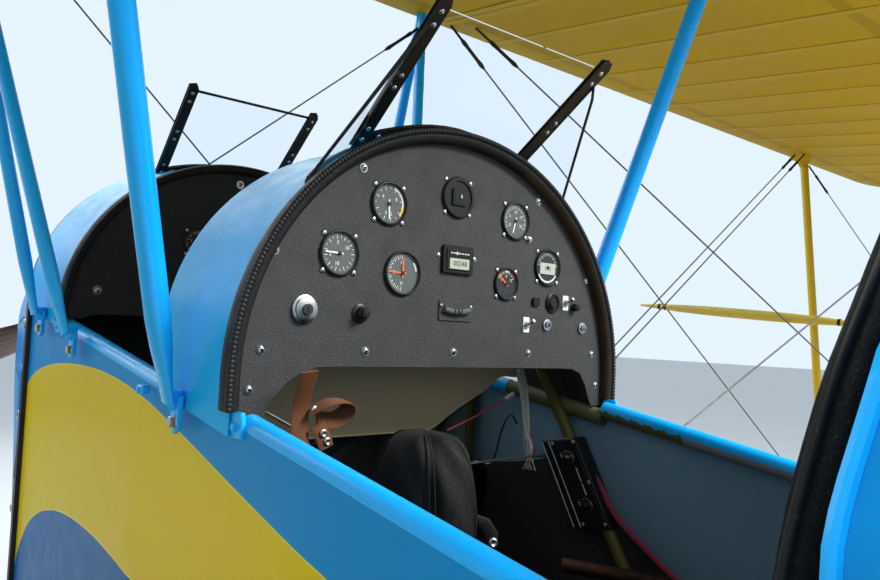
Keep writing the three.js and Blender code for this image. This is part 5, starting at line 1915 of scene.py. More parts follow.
tyre_rubber = rubber("tyre_rubber")
TYRE_TREAD = [
    # radius, place across the tyre
    (0.1125, -0.038), (0.125, -0.052), (0.146, -0.0695), (0.162, -0.0668), (0.178, -0.058),
    (0.19, -0.047), (0.199, -0.04), (0.204, -0.036), (0.2035, -0.0345), (0.2095, -0.029),
    (0.2115, -0.025), (0.2085, -0.024), (0.2085, -0.0215), (0.215, -0.02), (0.2165, -0.013),
    (0.212, -0.012), (0.212, -0.0095), (0.2178, -0.008), (0.2178, 0.0),
]
HUB = [
    # radius, place across the wheel
    (0.0158, -0.0515), (0.044, -0.0515), (0.045, -0.048), (0.0495, -0.034), (0.075, -0.027),
    (0.098, -0.0285), (0.104, -0.0295), (0.1115, -0.0298), (0.1118, -0.026), (0.104, -0.022),
    (0.1035, 0.022), (0.1118, 0.026), (0.1115, 0.0298), (0.104, 0.0295), (0.098, 0.0285),
    (0.075, 0.022), (0.0495, 0.034), (0.045, 0.048), (0.044, 0.0515), (0.0158, 0.0515),
]
cast_alloy = metal("cast_alloy", linear(176, 178, 180), 0.4, grain=160)
for side, sign in SIDES:
    wheel = place_at(sign * WHEEL_X, WHEEL_Y, AXLE_Z)
    wheel = wheel @ Matrix.Rotation(sign * pi / 2, 4, "Y")
    form = Form()
    form.lathe(HUB, wheel, 0, 56)
    for k in range(6):
        angle = 2 * pi * (k + 0.5) / 6
        at = wheel @ Vector((0.062 * cos(angle), 0.062 * sin(angle), 0.0255))
        bolt(form, at, (sign, 0, 0), 0.01, 1)
        # painted shade: each vent hole is a near-black disc on the hub, not an opening
        at = wheel @ Vector((0.086 * cos(angle + 0.5), 0.086 * sin(angle + 0.5), 0.0252))
        vent_shade = [(0.0001, 0.0), (0.01, 0.0004), (0.011, 0.0012), (0.0125, 0.0004)]
        form.lathe(vent_shade, facing(at, (sign, 0, 0)), 2, 20)
    body = "wheel_" + side
    form = form.build("hub_" + side, cast_alloy, steel, black_inside_and_shade, body=body, slot="bare_aluminium")
    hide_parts("wheel_hub_" + side)
    form = Form()
    profile = TYRE_TREAD + [(r, -a) for r, a in TYRE_TREAD[-2::-1]]
    form.lathe(profile, wheel, 0, 80, closed=True)
    valve = wheel @ Vector((0.115, 0, 0.04))
    form.tube([valve, valve + Vector((sign * 0.01, 0, 0.002))], 0.0035, 0, 8)
    form = form.build("tyre_rubber_" + side, tyre_rubber, body=body, smooth=45, slot="tyre_rubber")
    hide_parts("tyre_" + side)

# Tail surfaces
# Flat frames of thin welded steel tube and ribs under painted fabric.
# A tape covers the stitching over each rib, and wires brace the fin and stabilizer.
HINGE_AFT = -0.06
TAIL_RISE = 0.024
RUDDER_HINGE = 0.062
TAPE_HALF = 0.011
TAIL_HALF = 1.288


def tail_paint():
    made, tree, shader = material(
        "tail_blue", Coat_Weight=0.08, Coat_Roughness=0.06, Specular_IOR_Level=0.15
    )
    worn(tree, shader, SIDE_BLUE, 0.3)
    bump(tree, shader, weave_height(tree, 0.0016), 0.00012, 0.35)
    return made


def flat_surface(form, edges, thick, ribs, place, rim=0.5):
    """Fabric over a flat frame. edges(share) gives the two edges' points (across, aft) at a
    rib's share of the way; the cloth dips between the ribs and closes on round edges."""
    rows = []
    count = len(ribs) - 1
    per_bay = 6
    shape = [0.0, 0.008, 0.03, 0.08, 0.2, 0.5, 0.8, 0.92, 0.97, 0.992, 1.0]
    for bay in range(count):
        for k in range(per_bay + (bay == count - 1)):
            t = k / per_bay
            share = ribs[bay] + (ribs[bay + 1] - ribs[bay]) * t
            front, back = edges(share)
            dip = 0.0022 * sin(pi * t)
            upper, lower = [], []
            for s in shape:
                a = front[0] + (back[0] - front[0]) * s
                b = front[1] + (back[1] - front[1]) * s
                round_off = min(1.0, s * (1 - s) * 40)
                lift = thick / 2 * (rim + (1 - rim) * round_off) * (min(1, s * (1 - s) * 130) ** 0.5)
                lift = max(0.0, lift - dip * round_off)
                upper.append(place @ Vector((a, b, lift)))
                lower.append(place @ Vector((a, b, -lift)))
            rows.append(upper + lower[-2:0:-1])
    form.rows(rows, 0, ring=True, caps=True)
    for share in ribs:
        front, back = edges(share)
        for face in (1, -1):
            lift = face * (thick / 2 + 0.0003)
            ends = [Vector(front).lerp(Vector(back), s).to_3d() for s in (0.06, 0.94)]
            tape = [[place @ (p + Vector((w, 0, lift))) for w in (-TAPE_HALF, TAPE_HALF)] for p in ends]
            form.rows(tape, 1)


STABILIZER = [
    # place across, front edge from the hinge's frame
    (0.0, -0.757), (0.42, -0.742), (0.86, -0.637), (1.15, -0.467), (1.278, -0.3),
    (TAIL_HALF, -0.1),
]
form = Form()
tail_blue = tail_paint()
level = TAIL_FRAME @ shifted(0, 0, TAIL_RISE)


def stabilizer_edges(share):
    x = TAIL_HALF * (2 * share - 1)
    return (x, along_table(STABILIZER, abs(x))), (x, HINGE_AFT - 0.0125)


flat_surface(form, stabilizer_edges, 0.045, [k / 14 for k in range(15)], level)
form = form.build("stabilizer_skin", tail_blue, tape_blue, slot="blue_fabric")
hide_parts("stabilizer")
ELEVATOR_INNER = 0.0755  # its inner edge slants out, clear of the rudder's swing
ELEVATOR_SLANT = 1.804
ELEVATOR_START = 0.083
ELEVATOR_BACK = [
    (0.076, 0.392), (0.33, 0.399), (0.7, 0.393), (1.08, 0.328), (1.22, 0.235), (1.262, 0.17),
    (1.289, 0.0),
]
form = Form()
for sign in (1, -1):
    def elevator_edges(share, sign=sign):
        x = ELEVATOR_START + (TAIL_HALF - ELEVATOR_START) * share
        slanted = HINGE_AFT + (x - ELEVATOR_INNER) * ELEVATOR_SLANT
        back = min(along_table(ELEVATOR_BACK, x), slanted)
        return (sign * x, HINGE_AFT + 0.0005), (sign * x, back)

    flat_surface(form, elevator_edges, 0.0292, [k / 6 for k in range(7)], level, rim=0.8)
for half, radius, sides in ((0.081, 0.0108, 20), (0.0235, 0.0232, 28)):
    torque_tube = [level @ Vector((x, HINGE_AFT + 0.014, 0)) for x in (-half, half)]
    form.tube(torque_tube, radius, 2, sides)
form = form.build("elevator_skin", tail_blue, tape_blue, steel, body="elevator", slot="blue_fabric")
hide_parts("elevator")
upright = TAIL_FRAME @ axes((0, 0, 1), (0, 1, 0), (-1, 0, 0))
FIN_FRONT = [(0.0, -0.615), (0.33, -0.357), (0.64, -0.168), (0.725, -0.085), (0.7435, -0.02)]
FIN_BASE = TAIL_RISE + 0.023 + 0.0004
form = Form()


def fin_edges(share):
    h = FIN_FRONT[-1][0] * share
    return (h + FIN_BASE, along_table(FIN_FRONT, h)), (h + FIN_BASE, RUDDER_HINGE - 0.0245)


flat_surface(form, fin_edges, 0.0432, [0.045, 0.22, 0.42, 0.62, 0.82, 1.0], upright)
foot = [(-0.0205, -0.59), (0.0205, -0.59), (0.0205, HINGE_AFT - 0.016), (-0.0205, HINGE_AFT - 0.016)]
form.plate(foot, 0.036, TAIL_FRAME @ shifted(0, 0, FIN_BASE), 0, 0.002)
form = form.build("fin_skin", tail_blue, tape_blue, slot="blue_fabric")
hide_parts("fin")
RUDDER_BACK = [
    (-0.19, 0.285), (-0.1, 0.375), (-0.01, 0.437), (0.16, 0.473), (0.35, 0.487), (0.52, 0.472),
    (0.69, 0.436), (0.8, 0.365), (0.87, 0.27), (0.8835, 0.19),
]
RUDDER_LOW, RUDDER_TOP = -0.1895, 0.8835
RUDDER_FRONT = 0.0525
RUDDER_BEND = 0.785  # over this height its front edge leans aft
form = Form()


def rudder_edges(share):
    h = RUDDER_LOW + (RUDDER_TOP - RUDDER_LOW) * share
    front = RUDDER_FRONT + max(0.0, h - RUDDER_BEND) / (RUDDER_TOP - RUDDER_BEND) * 0.07
    return (h, front), (h, along_table(RUDDER_BACK, h))


flat_surface(form, rudder_edges, 0.0332, [0.0, 0.17, 0.34, 0.51, 0.68, 0.85, 1.0], upright, rim=0.8)
form.tube([upright @ Vector((h, RUDDER_HINGE, 0)) for h in (-0.17, -0.2056)], 0.0088, 2, 20)
for h in (0.05, 0.36, 0.66):
    hinge = [upright @ Vector((h + way, RUDDER_FRONT - 0.004, 0)) for way in (-0.02, 0.02)]
    form.tube(hinge, 0.0075, 2, 16)
form = form.build("rudder_skin", tail_blue, tape_blue, steel, body="rudder", slot="blue_fabric")
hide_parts("rudder")
# bracing wires between the fin, the stabilizer and the sternpost
form = Form()
for sign in (1, -1):
    for aft in (-0.5, -0.1):
        high = (0.5, aft) if aft > -0.3 else (0.38, -0.25)
        top = upright @ Vector((*high, -sign * 0.021))
        y = STERN + aft
        low = spot(sign * (half_at(y) + 0.001), y, floor_line(y) + 0.02)
        for rise, end in ((0.0232, top), (-0.0232, low)):
            at = level @ Vector((sign * 0.75, aft, rise))
            form.tube([at, at.lerp(end, 0.5), end], 0.0016, 0, 8)
            way = (end - at).normalized()
            form.tube([at + way * 0.01, at + way * 0.07], 0.0038, 0, 8)
            form.tube([at - way * 0.0004, at + way * 0.012], 0.006, 0, 6)
form.build("tail_bracing", wire_steel)

# Tail wheel
# Three leaves of spring steel, clamped and bolted under the stern.
# A welded steel steering fork turns at their end, with a solid rubber tyre on an alloy hub.
PIVOT_Y = 4.575
SPRING_FREE = 4.26  # aft of this the spring leaves the stern
SPRING_FLAT = 4.5525
SMALL_AXLE = (4.65, 0.08 - RAIL_Z)  # the tail wheel's y and z
spring_steel = metal("spring_steel", linear(70, 72, 76), 0.45, grain=140)
form = Form()
for number, (start, drop) in enumerate(((3.932, 0.0), (4.02, 0.0095), (4.1, 0.019))):
    rows = []
    end = (4.6085, 4.5, 4.4)[number]
    for i in range(19):
        y = start + (end - start) * i / 18
        share = max(0.0, min(1.0, (y - SPRING_FREE) / (SPRING_FLAT - SPRING_FREE)))
        ease = share * share * (3 - 2 * share)
        stern_low = floor_line(min(y, SPRING_FREE)) - 0.0005
        pivot_top = 0.2745 - RAIL_Z - 0.009 * max(0.0, (y - 4.555) / 0.054)
        upper = stern_low + (pivot_top - stern_low) * ease - drop
        thick = 0.009 if number or y < 4.5 else 0.009 + 0.028 * min(1.0, (y - 4.5) / 0.06)
        half = 0.0255 - 0.001 * number
        rows.append([spot(-half, y, upper), spot(half, y, upper), spot(half, y, upper - thick),
                     spot(-half, y, upper - thick)])
    form.rows(rows, 0, ring=True, caps=True)
for y in (4.0, 4.22):
    low = floor_line(y)
    for x in (-0.0258, 0.0235):
        form.plate(rounded(0.0022, 0.03, 0.0006, 2), 0.034,
                   place_at(x + 0.0011, y, low - 0.0335), 1, 0.0004)
    bolt(form, spot(0, y, low - 0.0188), (0, 0, -1), 0.012, 1)
form = form.build("spring_leaves", spring_steel, steel, slot="spring_steel")
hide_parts("tail_spring")
form = Form()
fork_top = 0.2347 - RAIL_Z
EDGEWISE = axes((0, 1, 0), (0, 0, 1), (1, 0, 0))
pivot = [(0.0001, 0.0), (0.0216, 0.0), (0.0216, 0.003), (0.018, 0.005), (0.018, 0.034),
         (0.0001, 0.034)]
form.lathe(pivot, place_at(0, PIVOT_Y + 0.005, fork_top - 0.034), 1, 32)
crown = rounded(0.0715, 0.101, 0.016)
form.plate(crown, 0.015, place_at(0, 4.6085, fork_top - 0.0438), 0, 0.003)
for sign in (1, -1):
    foot_z = 0.064 - RAIL_Z
    arm = [(x, 0.0145 + z) for x, z in circle(0.016, 24, 12)[:13]]
    arm += [(0.0158, fork_top - foot_z - 0.031), (-0.0158, fork_top - foot_z - 0.031)]
    place = place_at(sign * 0.032 - 0.0036, SMALL_AXLE[0], foot_z + 0.0015)
    form.plate(arm, 0.0072, place @ EDGEWISE, 0, 0.001)
    bolt(form, spot(sign * 0.0352, *SMALL_AXLE), (sign, 0, 0), 0.006, 1)
form.tube([spot(x, *SMALL_AXLE) for x in (-0.0355, 0.0355)], 0.0068, 1, 20)
form = form.build("steering_fork", black_steel, steel, body="tail_fork", slot="spring_steel")
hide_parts("tail_wheel_fork")
form = Form()
small = place_at(0, *SMALL_AXLE) @ Matrix.Rotation(pi / 2, 4, "Y")
tread = [(0.048, -0.0172), (0.06, -0.0197), (0.07, -0.0186), (0.076, -0.014), (0.079, -0.008)]
mirrored = [(radius, -across) for radius, across in reversed(tread)]
form.lathe(tread + [(0.0798, 0.0)] + mirrored + [(0.047, 0.0), tread[0]], small, 0, 48)
hub_half = [(0.0077, -0.0198), (0.016, -0.0198), (0.0165, -0.015), (0.042, -0.012),
            (0.047, -0.015), (0.0483, -0.0168)]
form.lathe(hub_half + [(radius, -across) for radius, across in reversed(hub_half)], small, 1, 40)
form = form.build("tail_tyre", tyre_rubber, cast_alloy, body="tail_wheel", smooth=40, slot="tyre_rubber")
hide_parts("tail_wheel")

# Seats
# Foam under sewn hide, piped at the edges, on plain alloy boxes. The front seat's back
# has a tan canvas cover with a turned hem, tied down to the frame.
BACK_LEAN = 0.05
BACK_ROWS = [
    # height over the panel's foot, half-width of the rear seat's back
    (-0.438, 0.284), (-0.048, 0.305), (0.08, 0.259), (0.165, 0.199), (0.222, 0.154),
    (0.267, 0.107), (0.292, 0.05),
]
PAD_VOXEL = 0.008
PAD_PRESSURE = 4
PAD_SWELL = 0.007
PAD_FRAMES = 20
SEAM_DEPTH = 0.006
SEAM_WIDTH = 0.006


def swelled(pad):
    """The pad after air pressure has filled its cover, by no more than PAD_SWELL."""
    made = pad.build("pad", black_leather, body=None)
    shell = bmesh.new()
    shell.from_mesh(made.data)
    bmesh.ops.remove_doubles(shell, verts=shell.verts, dist=1e-5)
    bmesh.ops.recalc_face_normals(shell, faces=shell.faces)
    shell.to_mesh(made.data)
    shell.free()

    def applied():
        graph = bpy.context.evaluated_depsgraph_get()
        mesh = bpy.data.meshes.new_from_object(made.evaluated_get(graph))
        made.modifiers.clear()
        made.data = mesh
        return mesh

    remesh = made.modifiers.new("remesh", "REMESH")
    remesh.mode = "VOXEL"
    remesh.voxel_size = PAD_VOXEL
    start = [v.co.copy() for v in applied().vertices]
    scene = bpy.context.scene
    cover = made.modifiers.new("cover", "CLOTH")
    cover.settings.use_pressure = True
    cover.settings.uniform_pressure_force = PAD_PRESSURE
    cover.settings.effector_weights.gravity = 0
    cover.point_cache.frame_end = PAD_FRAMES
    for frame_number in range(1, PAD_FRAMES + 1):
        scene.frame_set(frame_number)
    for vertex, rest in zip(applied().vertices, start):
        move = vertex.co - rest
        if move.length > PAD_SWELL:
            vertex.co = rest + move * (PAD_SWELL / move.length)
    scene.frame_set(1)
    finer = made.modifiers.new("finer", "SUBSURF")
    finer.levels = 1
    mesh = applied()
    points = [v.co.copy() for v in mesh.vertices]
    faces = [tuple(f.vertices) for f in mesh.polygons]
    bpy.data.objects.remove(made)
    return points, faces


def flat_pad(form, width, low, high, thick, place, seams=(), across=48, up=56, puff=0.16, boxy=5):
    """A pad's two faces, drawn in at its seams and rounded to its rim."""
    rows = {1: [], -1: []}
    for face in (1, -1):
        for i in range(up + 1):
            t = -cos(pi * i / up)
            height = low + (high - low) * (t + 1) / 2
            half = width(height)
            row = []
            for j in range(across + 1):
                u = -cos(pi * j / across)
                rim = max(0.0, (1 - abs(u) ** boxy) * (1 - abs(t) ** (boxy + 4))) ** 0.42
                rise = thick / 2 * rim * (1 - puff + puff * cos(u * 1.4) * cos(t * 1.2))
                for seam in seams:
                    rise -= 0.007 * rim * exp(-(((u - seam) * half) / 0.0065) ** 2)
                ripple = 0.0008 * sin(53 * u + 9 * t) * sin(17 * t + 3 * u)
                row.append(place @ Vector((u * half, height, face * (rise + ripple * rim))))
            rows[face].append(row)
    form.rows(rows[1], 0)
    form.rows([list(reversed(r)) for r in rows[-1]], 0)


def pillow(form, width, low, high, thick, place, seams, **shape):
    """A stuffed pad in a frame of (across, up, out). width(height) is half its width; seams
    are shares of it, where stitching draws the cover in."""
    pad = Form()
    flat_pad(pad, width, low, high, thick - 2 * PAD_SWELL, place, **shape)
    points, faces = swelled(pad)
    back = place.inverted()
    for point in points:
        local = back @ point
        half = width(min(high, max(low, local.y)))
        face = max(-1.0, min(1.0, local.z / (thick * 0.35)))
        for seam in seams:
            share = (local.x - seam * half) / SEAM_WIDTH
            local.z -= SEAM_DEPTH * face * exp(-share * share)
        point.xyz = place @ local
    form.add(points, faces, 0)


def piping(form, width, low, high, place, radius, number, steps=40):
    """A cord sewn into the seam all round a pad's rim."""
    edge = [low + (high - low) * i / steps for i in range(steps + 1)]
    loop = [Vector((width(h), h, 0)) for h in edge]
    loop += [Vector((-width(h), h, 0)) for h in reversed(edge)]
    form.tube([place @ p for p in loop + loop[:1]], radius, number, 8, caps=False)


def standing(y, z, lean):
    """A frame of (to port, up a back that leans, aft)."""
    up = Vector((0, lean, 1)).normalized()
    side = Vector((1, 0, 0))
    return place_at(0, y, z) @ axes(side, up, side.cross(up) * -1)


form = Form()
back = standing(0.584 + 0.025 + 0.438 * BACK_LEAN, 0.0, BACK_LEAN)
pillow(form, lambda h: along_table(BACK_ROWS, h) - 0.0005, -0.436, 0.291, 0.051, back,
       seams=(-0.55, 0.0, 0.55), puff=0.04, boxy=16)
piping(form, lambda h: along_table(BACK_ROWS, h) - 0.003, -0.43, 0.288, back, 0.0042, 1)
pan = place_at(0, 0.362, 0.91 - RAIL_Z)
pillow(form, lambda h: 0.258, -0.224, 0.224, 0.098, pan, seams=(-0.5, 0.0, 0.5), up=40)
piping(form, lambda h: 0.2575, -0.22, 0.22, pan, 0.0045, 1)
rear_cushion = form.build("rear_cushion", black_leather, cord_black, smooth=50, slot="black_leather")
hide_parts("rear_seat")
CANVAS_LEAN = 0.36
front_y = -0.33 + 0.025 + 0.378 * CANVAS_LEAN
front_back = standing(front_y, 0.0, CANVAS_LEAN)
front_long = hypot(1, CANVAS_LEAN)
form = Form()
BACK_WIDTHS = [(-0.4, 0.298), (-0.13, 0.298), (-0.055, 0.105), (0.0, 0.13), (0.05, 0.21), (0.1, 0.24)]
pillow(form, lambda h: along_table(BACK_WIDTHS, h / front_long), -0.376 * front_long,
       0.09 * front_long, 0.044, front_back, seams=(-0.5, 0.0, 0.5))
pan = place_at(0, -0.485, 0.97 - RAIL_Z)
pillow(form, lambda h: 0.258, -0.173, 0.15, 0.098, pan, seams=(-0.5, 0.0, 0.5), up=36)
front_cushion = form.build("front_cushion", black_leather, smooth=50)
tan_canvas = cloth("tan_canvas", linear(196, 174, 136), 0.0011, 0.9, 0.1)
thread_tan = enamel("thread_tan", linear(196, 182, 150), 0.8, 0.0)
form = Form()
CANVAS_HALF = 0.262
CANVAS_TOP = 0.088
CANVAS_HEM = [
    # place across, the lower edge's height
    (-0.262, 0.05), (-0.222, 0.05), (-0.198, 0.03), (-0.14, -0.006), (-0.1, -0.036),
    (-0.088, -0.04), (0.262, -0.043),
]


def canvas(x, t):
    """The cover hangs from the back's top edge, fuller at its middle."""
    z = CANVAS_TOP + (along_table(CANVAS_HEM, x) - CANVAS_TOP) * t
    slack = 0.004 * sin(pi * t) * cos(x * 5)
    slack += 0.0012 * sin(38 * x + 5 * t) * sin(pi * t)
    return front_back @ Vector((x, z * front_long, 0.0262 + slack))


rows, hem = [], []
for i in range(57):
    x = -CANVAS_HALF + 2 * CANVAS_HALF * i / 56
    over = [
        front_back @ Vector((x, height * front_long, out))
        for height, out in ((0.07, -0.0262), (0.096, -0.012), (0.0955, 0.014))
    ]
    rows.append(over + [canvas(x, t / 16) for t in range(17)])
    hem.append(canvas(x, 1) + Vector((0, 0.0008, 0.0008)))
form.rows(rows, 0)
form.tube(hem, 0.0026, 1, 8, flatten=0.6)
for t in (0.8, 0.86):
    stitches = [canvas(-0.25 + 0.5 * i / 90, t) + Vector((0, 0.0008, 0.0002)) for i in range(91)]
    for a, b in zip(stitches[::2], stitches[1::2]):
        form.tube([a, b], 0.0005, 1, 4)
canvas_cover = form.build("canvas_cover", tan_canvas, thread_tan, smooth=50, slot="tan_canvas")
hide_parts("front_seat")
sheet_alloy = metal("sheet_alloy", linear(158, 162, 166), 0.42, grain=120)
for tag, y0, y1, lid_z in (("rear", 0.14, 0.46, 0.8597), ("front", -0.62, -0.35, 0.9197)):
    top = lid_z - RAIL_Z
    form = Form()
    for sign in (1, -1):
        wall = [(y, floor_line(y) + 0.0205) for y in (y0, y1)] + [(y1, top), (y0, top)]
        place = place_at(sign * 0.2335 - 0.001, 0, 0) @ EDGEWISE
        form.plate(wall, 0.002, place, 0, 0.0004)
        for y in (y0 + 0.02, (y0 + y1) / 2, y1 - 0.02):
            for z in (top - 0.014, floor_line(y) + 0.034):
                screw(form, spot(sign * 0.2347, y, z), (sign, 0, 0), 0.0035, 1)
    lid = rounded(0.47, y1 - y0, 0.004)
    form.plate(lid, 0.002, place_at(0, (y0 + y1) / 2, top - 0.002), 0, 0.0005)
    for sign in (1, -1):
        angle = [(0.0, 0.0), (0.022, 0.0), (0.022, 0.002), (0.0, 0.002)]
        rows = [[spot(sign * (0.2325 - a), y, top - 0.0025 - b) for a, b in angle] for y in (y0, y1)]
        form.rows(rows, 0, ring=True, caps=True)
    form = form.build(tag + "_box", sheet_alloy, steel, slot="bare_aluminium")
    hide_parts(tag + "_seat_box")

# Control stick
# A bent steel tube in a bolted floor socket, with a ribbed rubber grip.
# A boot of black hide, sewn in double seams, is drawn over it.
form = Form()
stick_foot = 0.6173 + 0.0203 - RAIL_Z
bends = ((0.06, 0.0), (0.072, 0.18), (0.085, 0.38))
path = [spot(0, y, stick_foot + z) for y, z in bends]
form.tube(path, 0.0108, 1, 20)
grip = [spot(0, 0.084 + 0.006 * k / 12, stick_foot + 0.37 + 0.11 * k / 12) for k in range(13)]
ribs = [0.0166, 0.0158] * 3
form.tube(grip, [0.012, 0.0155] + ribs + [0.0166, 0.016, 0.0155, 0.014, 0.009], 0, 24)
socket = [(0.0396, 0.0), (0.0396, 0.006), (0.03, 0.008), (0.024, 0.016), (0.0215, 0.03),
          (0.0001, 0.03)]
form.lathe(socket, place_at(0, 0.06, stick_foot), 1, 36)
for x, y in circle(0.033, 6):
    bolt(form, spot(x, 0.06 + y, stick_foot + 0.0065), (0, 0, 1), 0.004, 2)
form = form.build("stick", black_plastic, dark_steel, steel, slot="black_plastic")
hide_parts("control_stick")
HOOD_X, HOOD_Y = 0.124, 0.1
HOOD_FOOT, HOOD_TALL = -0.33, 0.323
HOOD_SEAMS = (0.9, 2.24)  # where its double seams run, as turns about its middle
HOOD_ROWS = [
    # height, half-width across, half-width along, shift to port
    (-0.33, 0.04, 0.052, -0.004), (-0.26, 0.05, 0.062, -0.002), (-0.17, 0.055, 0.069, -0.001),
    (-0.11, 0.056, 0.07, 0.001), (-0.07, 0.054, 0.067, 0.003), (-0.038, 0.048, 0.06, 0.006),
    (-0.018, 0.037, 0.046, 0.008), (-0.009, 0.022, 0.028, 0.01), (-0.007, 0.003, 0.004, 0.012),
]


def hood_point(i, turn, crease=None):
    """A place on the boot: i of 60 steps up, and a turn about its middle."""
    z = HOOD_FOOT + HOOD_TALL * (1 - (1 - i / 60) ** 1.9)
    wide, long, shift = along_rows(HOOD_ROWS, z)
    grow = 0.985
    if crease:
        grow = 1 + crease(turn, z) / max(wide, 0.02)
    return spot(
        HOOD_X + shift + wide * cos(turn) * grow, HOOD_Y + long * sin(turn) * grow, z
    )


def hood_crease(turn, z):
    """How far the hide stands out in soft folds and is drawn in at its seams."""
    seam = 0.0045 * sum(exp(-((sin(turn - s) * 8) ** 2)) for s in HOOD_SEAMS)
    fold = 0.0022 * sin(5 * turn + 40 * z) * sin(31 * z + 2 * turn)
    return fold * (1 + 1.5 * max(0, (z + 0.07) / 0.06)) - seam


form = Form()
turns = [2 * pi * j / 72 for j in range(72)]
rows = [[hood_point(i, turn, hood_crease) for turn in turns] for i in range(61)]
form.rows(rows, 0, ring=True, caps=True)
for s in HOOD_SEAMS:
    for side_step in (-0.055, 0.055):
        for flip in (0, pi):
            form.tube([hood_point(i, s + side_step + flip) for i in range(4, 57)], 0.0011, 1, 6)
strap = [spot(0.068, 0.125, -0.116), spot(0.054, 0.132, -0.124), spot(0.045, 0.135, -0.138),
         spot(0.043, 0.134, -0.154)]
form.tube(strap, [0.006, 0.009, 0.01, 0.008], 0, 12, flatten=0.22, up=(1, 0.5, 0.3))
form.lathe([(0.006, 0.0), (0.0062, 0.0016), (0.004, 0.0024), (0.0018, 0.0008)],
           facing(spot(0.046, 0.14, -0.146), (0.3, 0.95, 0.1)), 2, 20)
boot = form.build("stick_boot", black_leather, cord_black, steel, smooth=50)

# Cockpit fittings
# What is clamped or tied inside the rear cockpit: a switch box on an olive tube, lead
# bundles, a harness strap, a rod of the throttle and the piped edge of the side lining.
PORT_WAY = Vector((1, 0, 0))
olive = enamel("olive_enamel", linear(84, 76, 30), 0.4, 0.2)
form = Form()
bends = ((-0.13, 0.09), (0.09, -0.264), (0.19, -0.41))
form.tube([spot(-0.312, y, z) for y, z in bends], 0.0105, 0, 20)
form.tube([spot(-0.2, 0.045, -0.2335), spot(-0.296, 0.17, -0.246)], 0.011, 1, 16)
form.build("diagonal_tube", olive, metal("rusty_steel", linear(70, 52, 42), 0.7))
corner = spot(-0.296, -0.018, -0.0525)
down = spot(-0.296, 0.0625, -0.189) - corner
ahead = spot(-0.296, -0.092, -0.0675) - corner
BOX_LONG, BOX_WIDE, BOX_DEEP = down.length, ahead.length, 0.03
box_turn = axes(ahead.normalized(), down.normalized() * -1, PORT_WAY)
box_frame = Matrix.Translation(corner) @ box_turn
form = Form()
middle = shifted(BOX_WIDE / 2, -BOX_LONG / 2, 0)
at = box_frame @ middle @ shifted(0, 0, -BOX_DEEP)
form.plate(rounded(BOX_WIDE, BOX_LONG, 0.003), BOX_DEEP, at, 0, 0.0015)
rim = rounded(BOX_WIDE - 0.01, BOX_LONG - 0.006, 0.002)
form.plate(rim, 0.0012, box_frame @ middle, 0, 0.0004)
for u in (BOX_WIDE - 0.003, BOX_WIDE - 0.0175):
    form.plate([(u - 0.0012, -BOX_LONG + 0.004), (u + 0.0012, -BOX_LONG + 0.004), (u + 0.0012, -0.004),
                (u - 0.0012, -0.004)], 0.0012, box_frame @ shifted(0, 0, 0.001), 1, 0.0003)
for u, v in ((0.006, 0.008), (0.006, BOX_LONG / 2), (0.006, BOX_LONG - 0.008), (BOX_WIDE - 0.024, 0.008),
             (BOX_WIDE - 0.024, BOX_LONG - 0.008)):
    screw(form, box_frame @ Vector((u, -v, 0.0012)), PORT_WAY, 0.0036, 1)
for v in (0.033, 0.116):
    at = box_frame @ shifted(0.026, -v, 0.0012)
    knob = [(0.01, 0.0), (0.0104, 0.002), (0.0088, 0.005), (0.008, 0.015), (0.0068, 0.017),
            (0.0001, 0.017)]
    form.lathe(knob, at, 0, 28)
    form.lathe([(0.0106, 0.0), (0.0109, 0.0014), (0.0102, 0.0018)], at, 1, 28)
    form.plate(rounded(0.0014, 0.006, 0.0004, 2), 0.0006, at @ shifted(0, 0.003, 0.017), 2)
for v, long in ((0.058, 0.01), (0.07, 0.014), (0.084, 0.008), (0.094, 0.012)):
    form.plate(rounded(0.0022, long, 0.0006, 2), 0.0003,
               box_frame @ shifted(0.02, -v, 0.0012), 2)
form.build("switch_box", black_plastic, alloy, label_white)


def smooth_path(points):
    """Places on a smooth line through a few points, eight to each stretch."""
    table = [(k, *point) for k, point in enumerate(points)]
    return [spot(*along_rows(table, i / 8)) for i in range((len(points) - 1) * 8 + 1)]


def strand(form, points, radius, number):
    """A lead that bends smoothly through a few points."""
    form.tube(smooth_path(points), radius, number, 8)


lead_white = enamel("lead_white", linear(206, 202, 190), 0.45, 0.2)
lead_red = enamel("lead_red", linear(168, 18, 22), 0.4, 0.3)
form = Form()
for k, (dx, dy) in enumerate(circle(0.0045, 9)):
    spread_x = 0.011 * cos(4 * pi * k / 9)
    strand(form, [(-0.262 + dx, -0.135 + dy, 0.1), (-0.268 + dx * 1.5, -0.12 + dy * 1.6, 0.047),
                  (-0.272 + dx * 1.3, -0.111 + dy * 1.3, 0.0), (-0.272 + dx, -0.104 + dy, -0.048),
                  (-0.276 + dx + spread_x * 0.3, -0.099 + dy + spread_x, -0.08),
                  (-0.29 + dx, -0.11 + dy - spread_x, -0.12)],
           0.0011, 1 if k == 4 else 0)
strand(form, [(-0.098, -0.118, -0.044), (-0.161, -0.119, -0.024), (-0.238, -0.121, 0.006)], 0.0013, 1)
form.tube([spot(-0.232, -0.121, 0.0035), spot(-0.252, -0.121, 0.012)], 0.0034, 0, 10)
form.build("lead_bundle", lead_white, lead_red)
form = Form()
strand(form, [(-0.15, -0.135, -0.11), (-0.17, -0.125, -0.1), (-0.205, -0.119, -0.102),
              (-0.204, -0.098, -0.046), (-0.215, -0.09, -0.02), (-0.262, -0.118, -0.04)],
       0.0017, 0)
strand(form, [(-0.06, -0.052, -0.092), (-0.08, -0.05, -0.088), (-0.11, -0.05, -0.086),
              (-0.2, -0.06, -0.086), (-0.285, -0.07, -0.09)],
       0.0018, 0)
form.build("black_leads", cord_black)
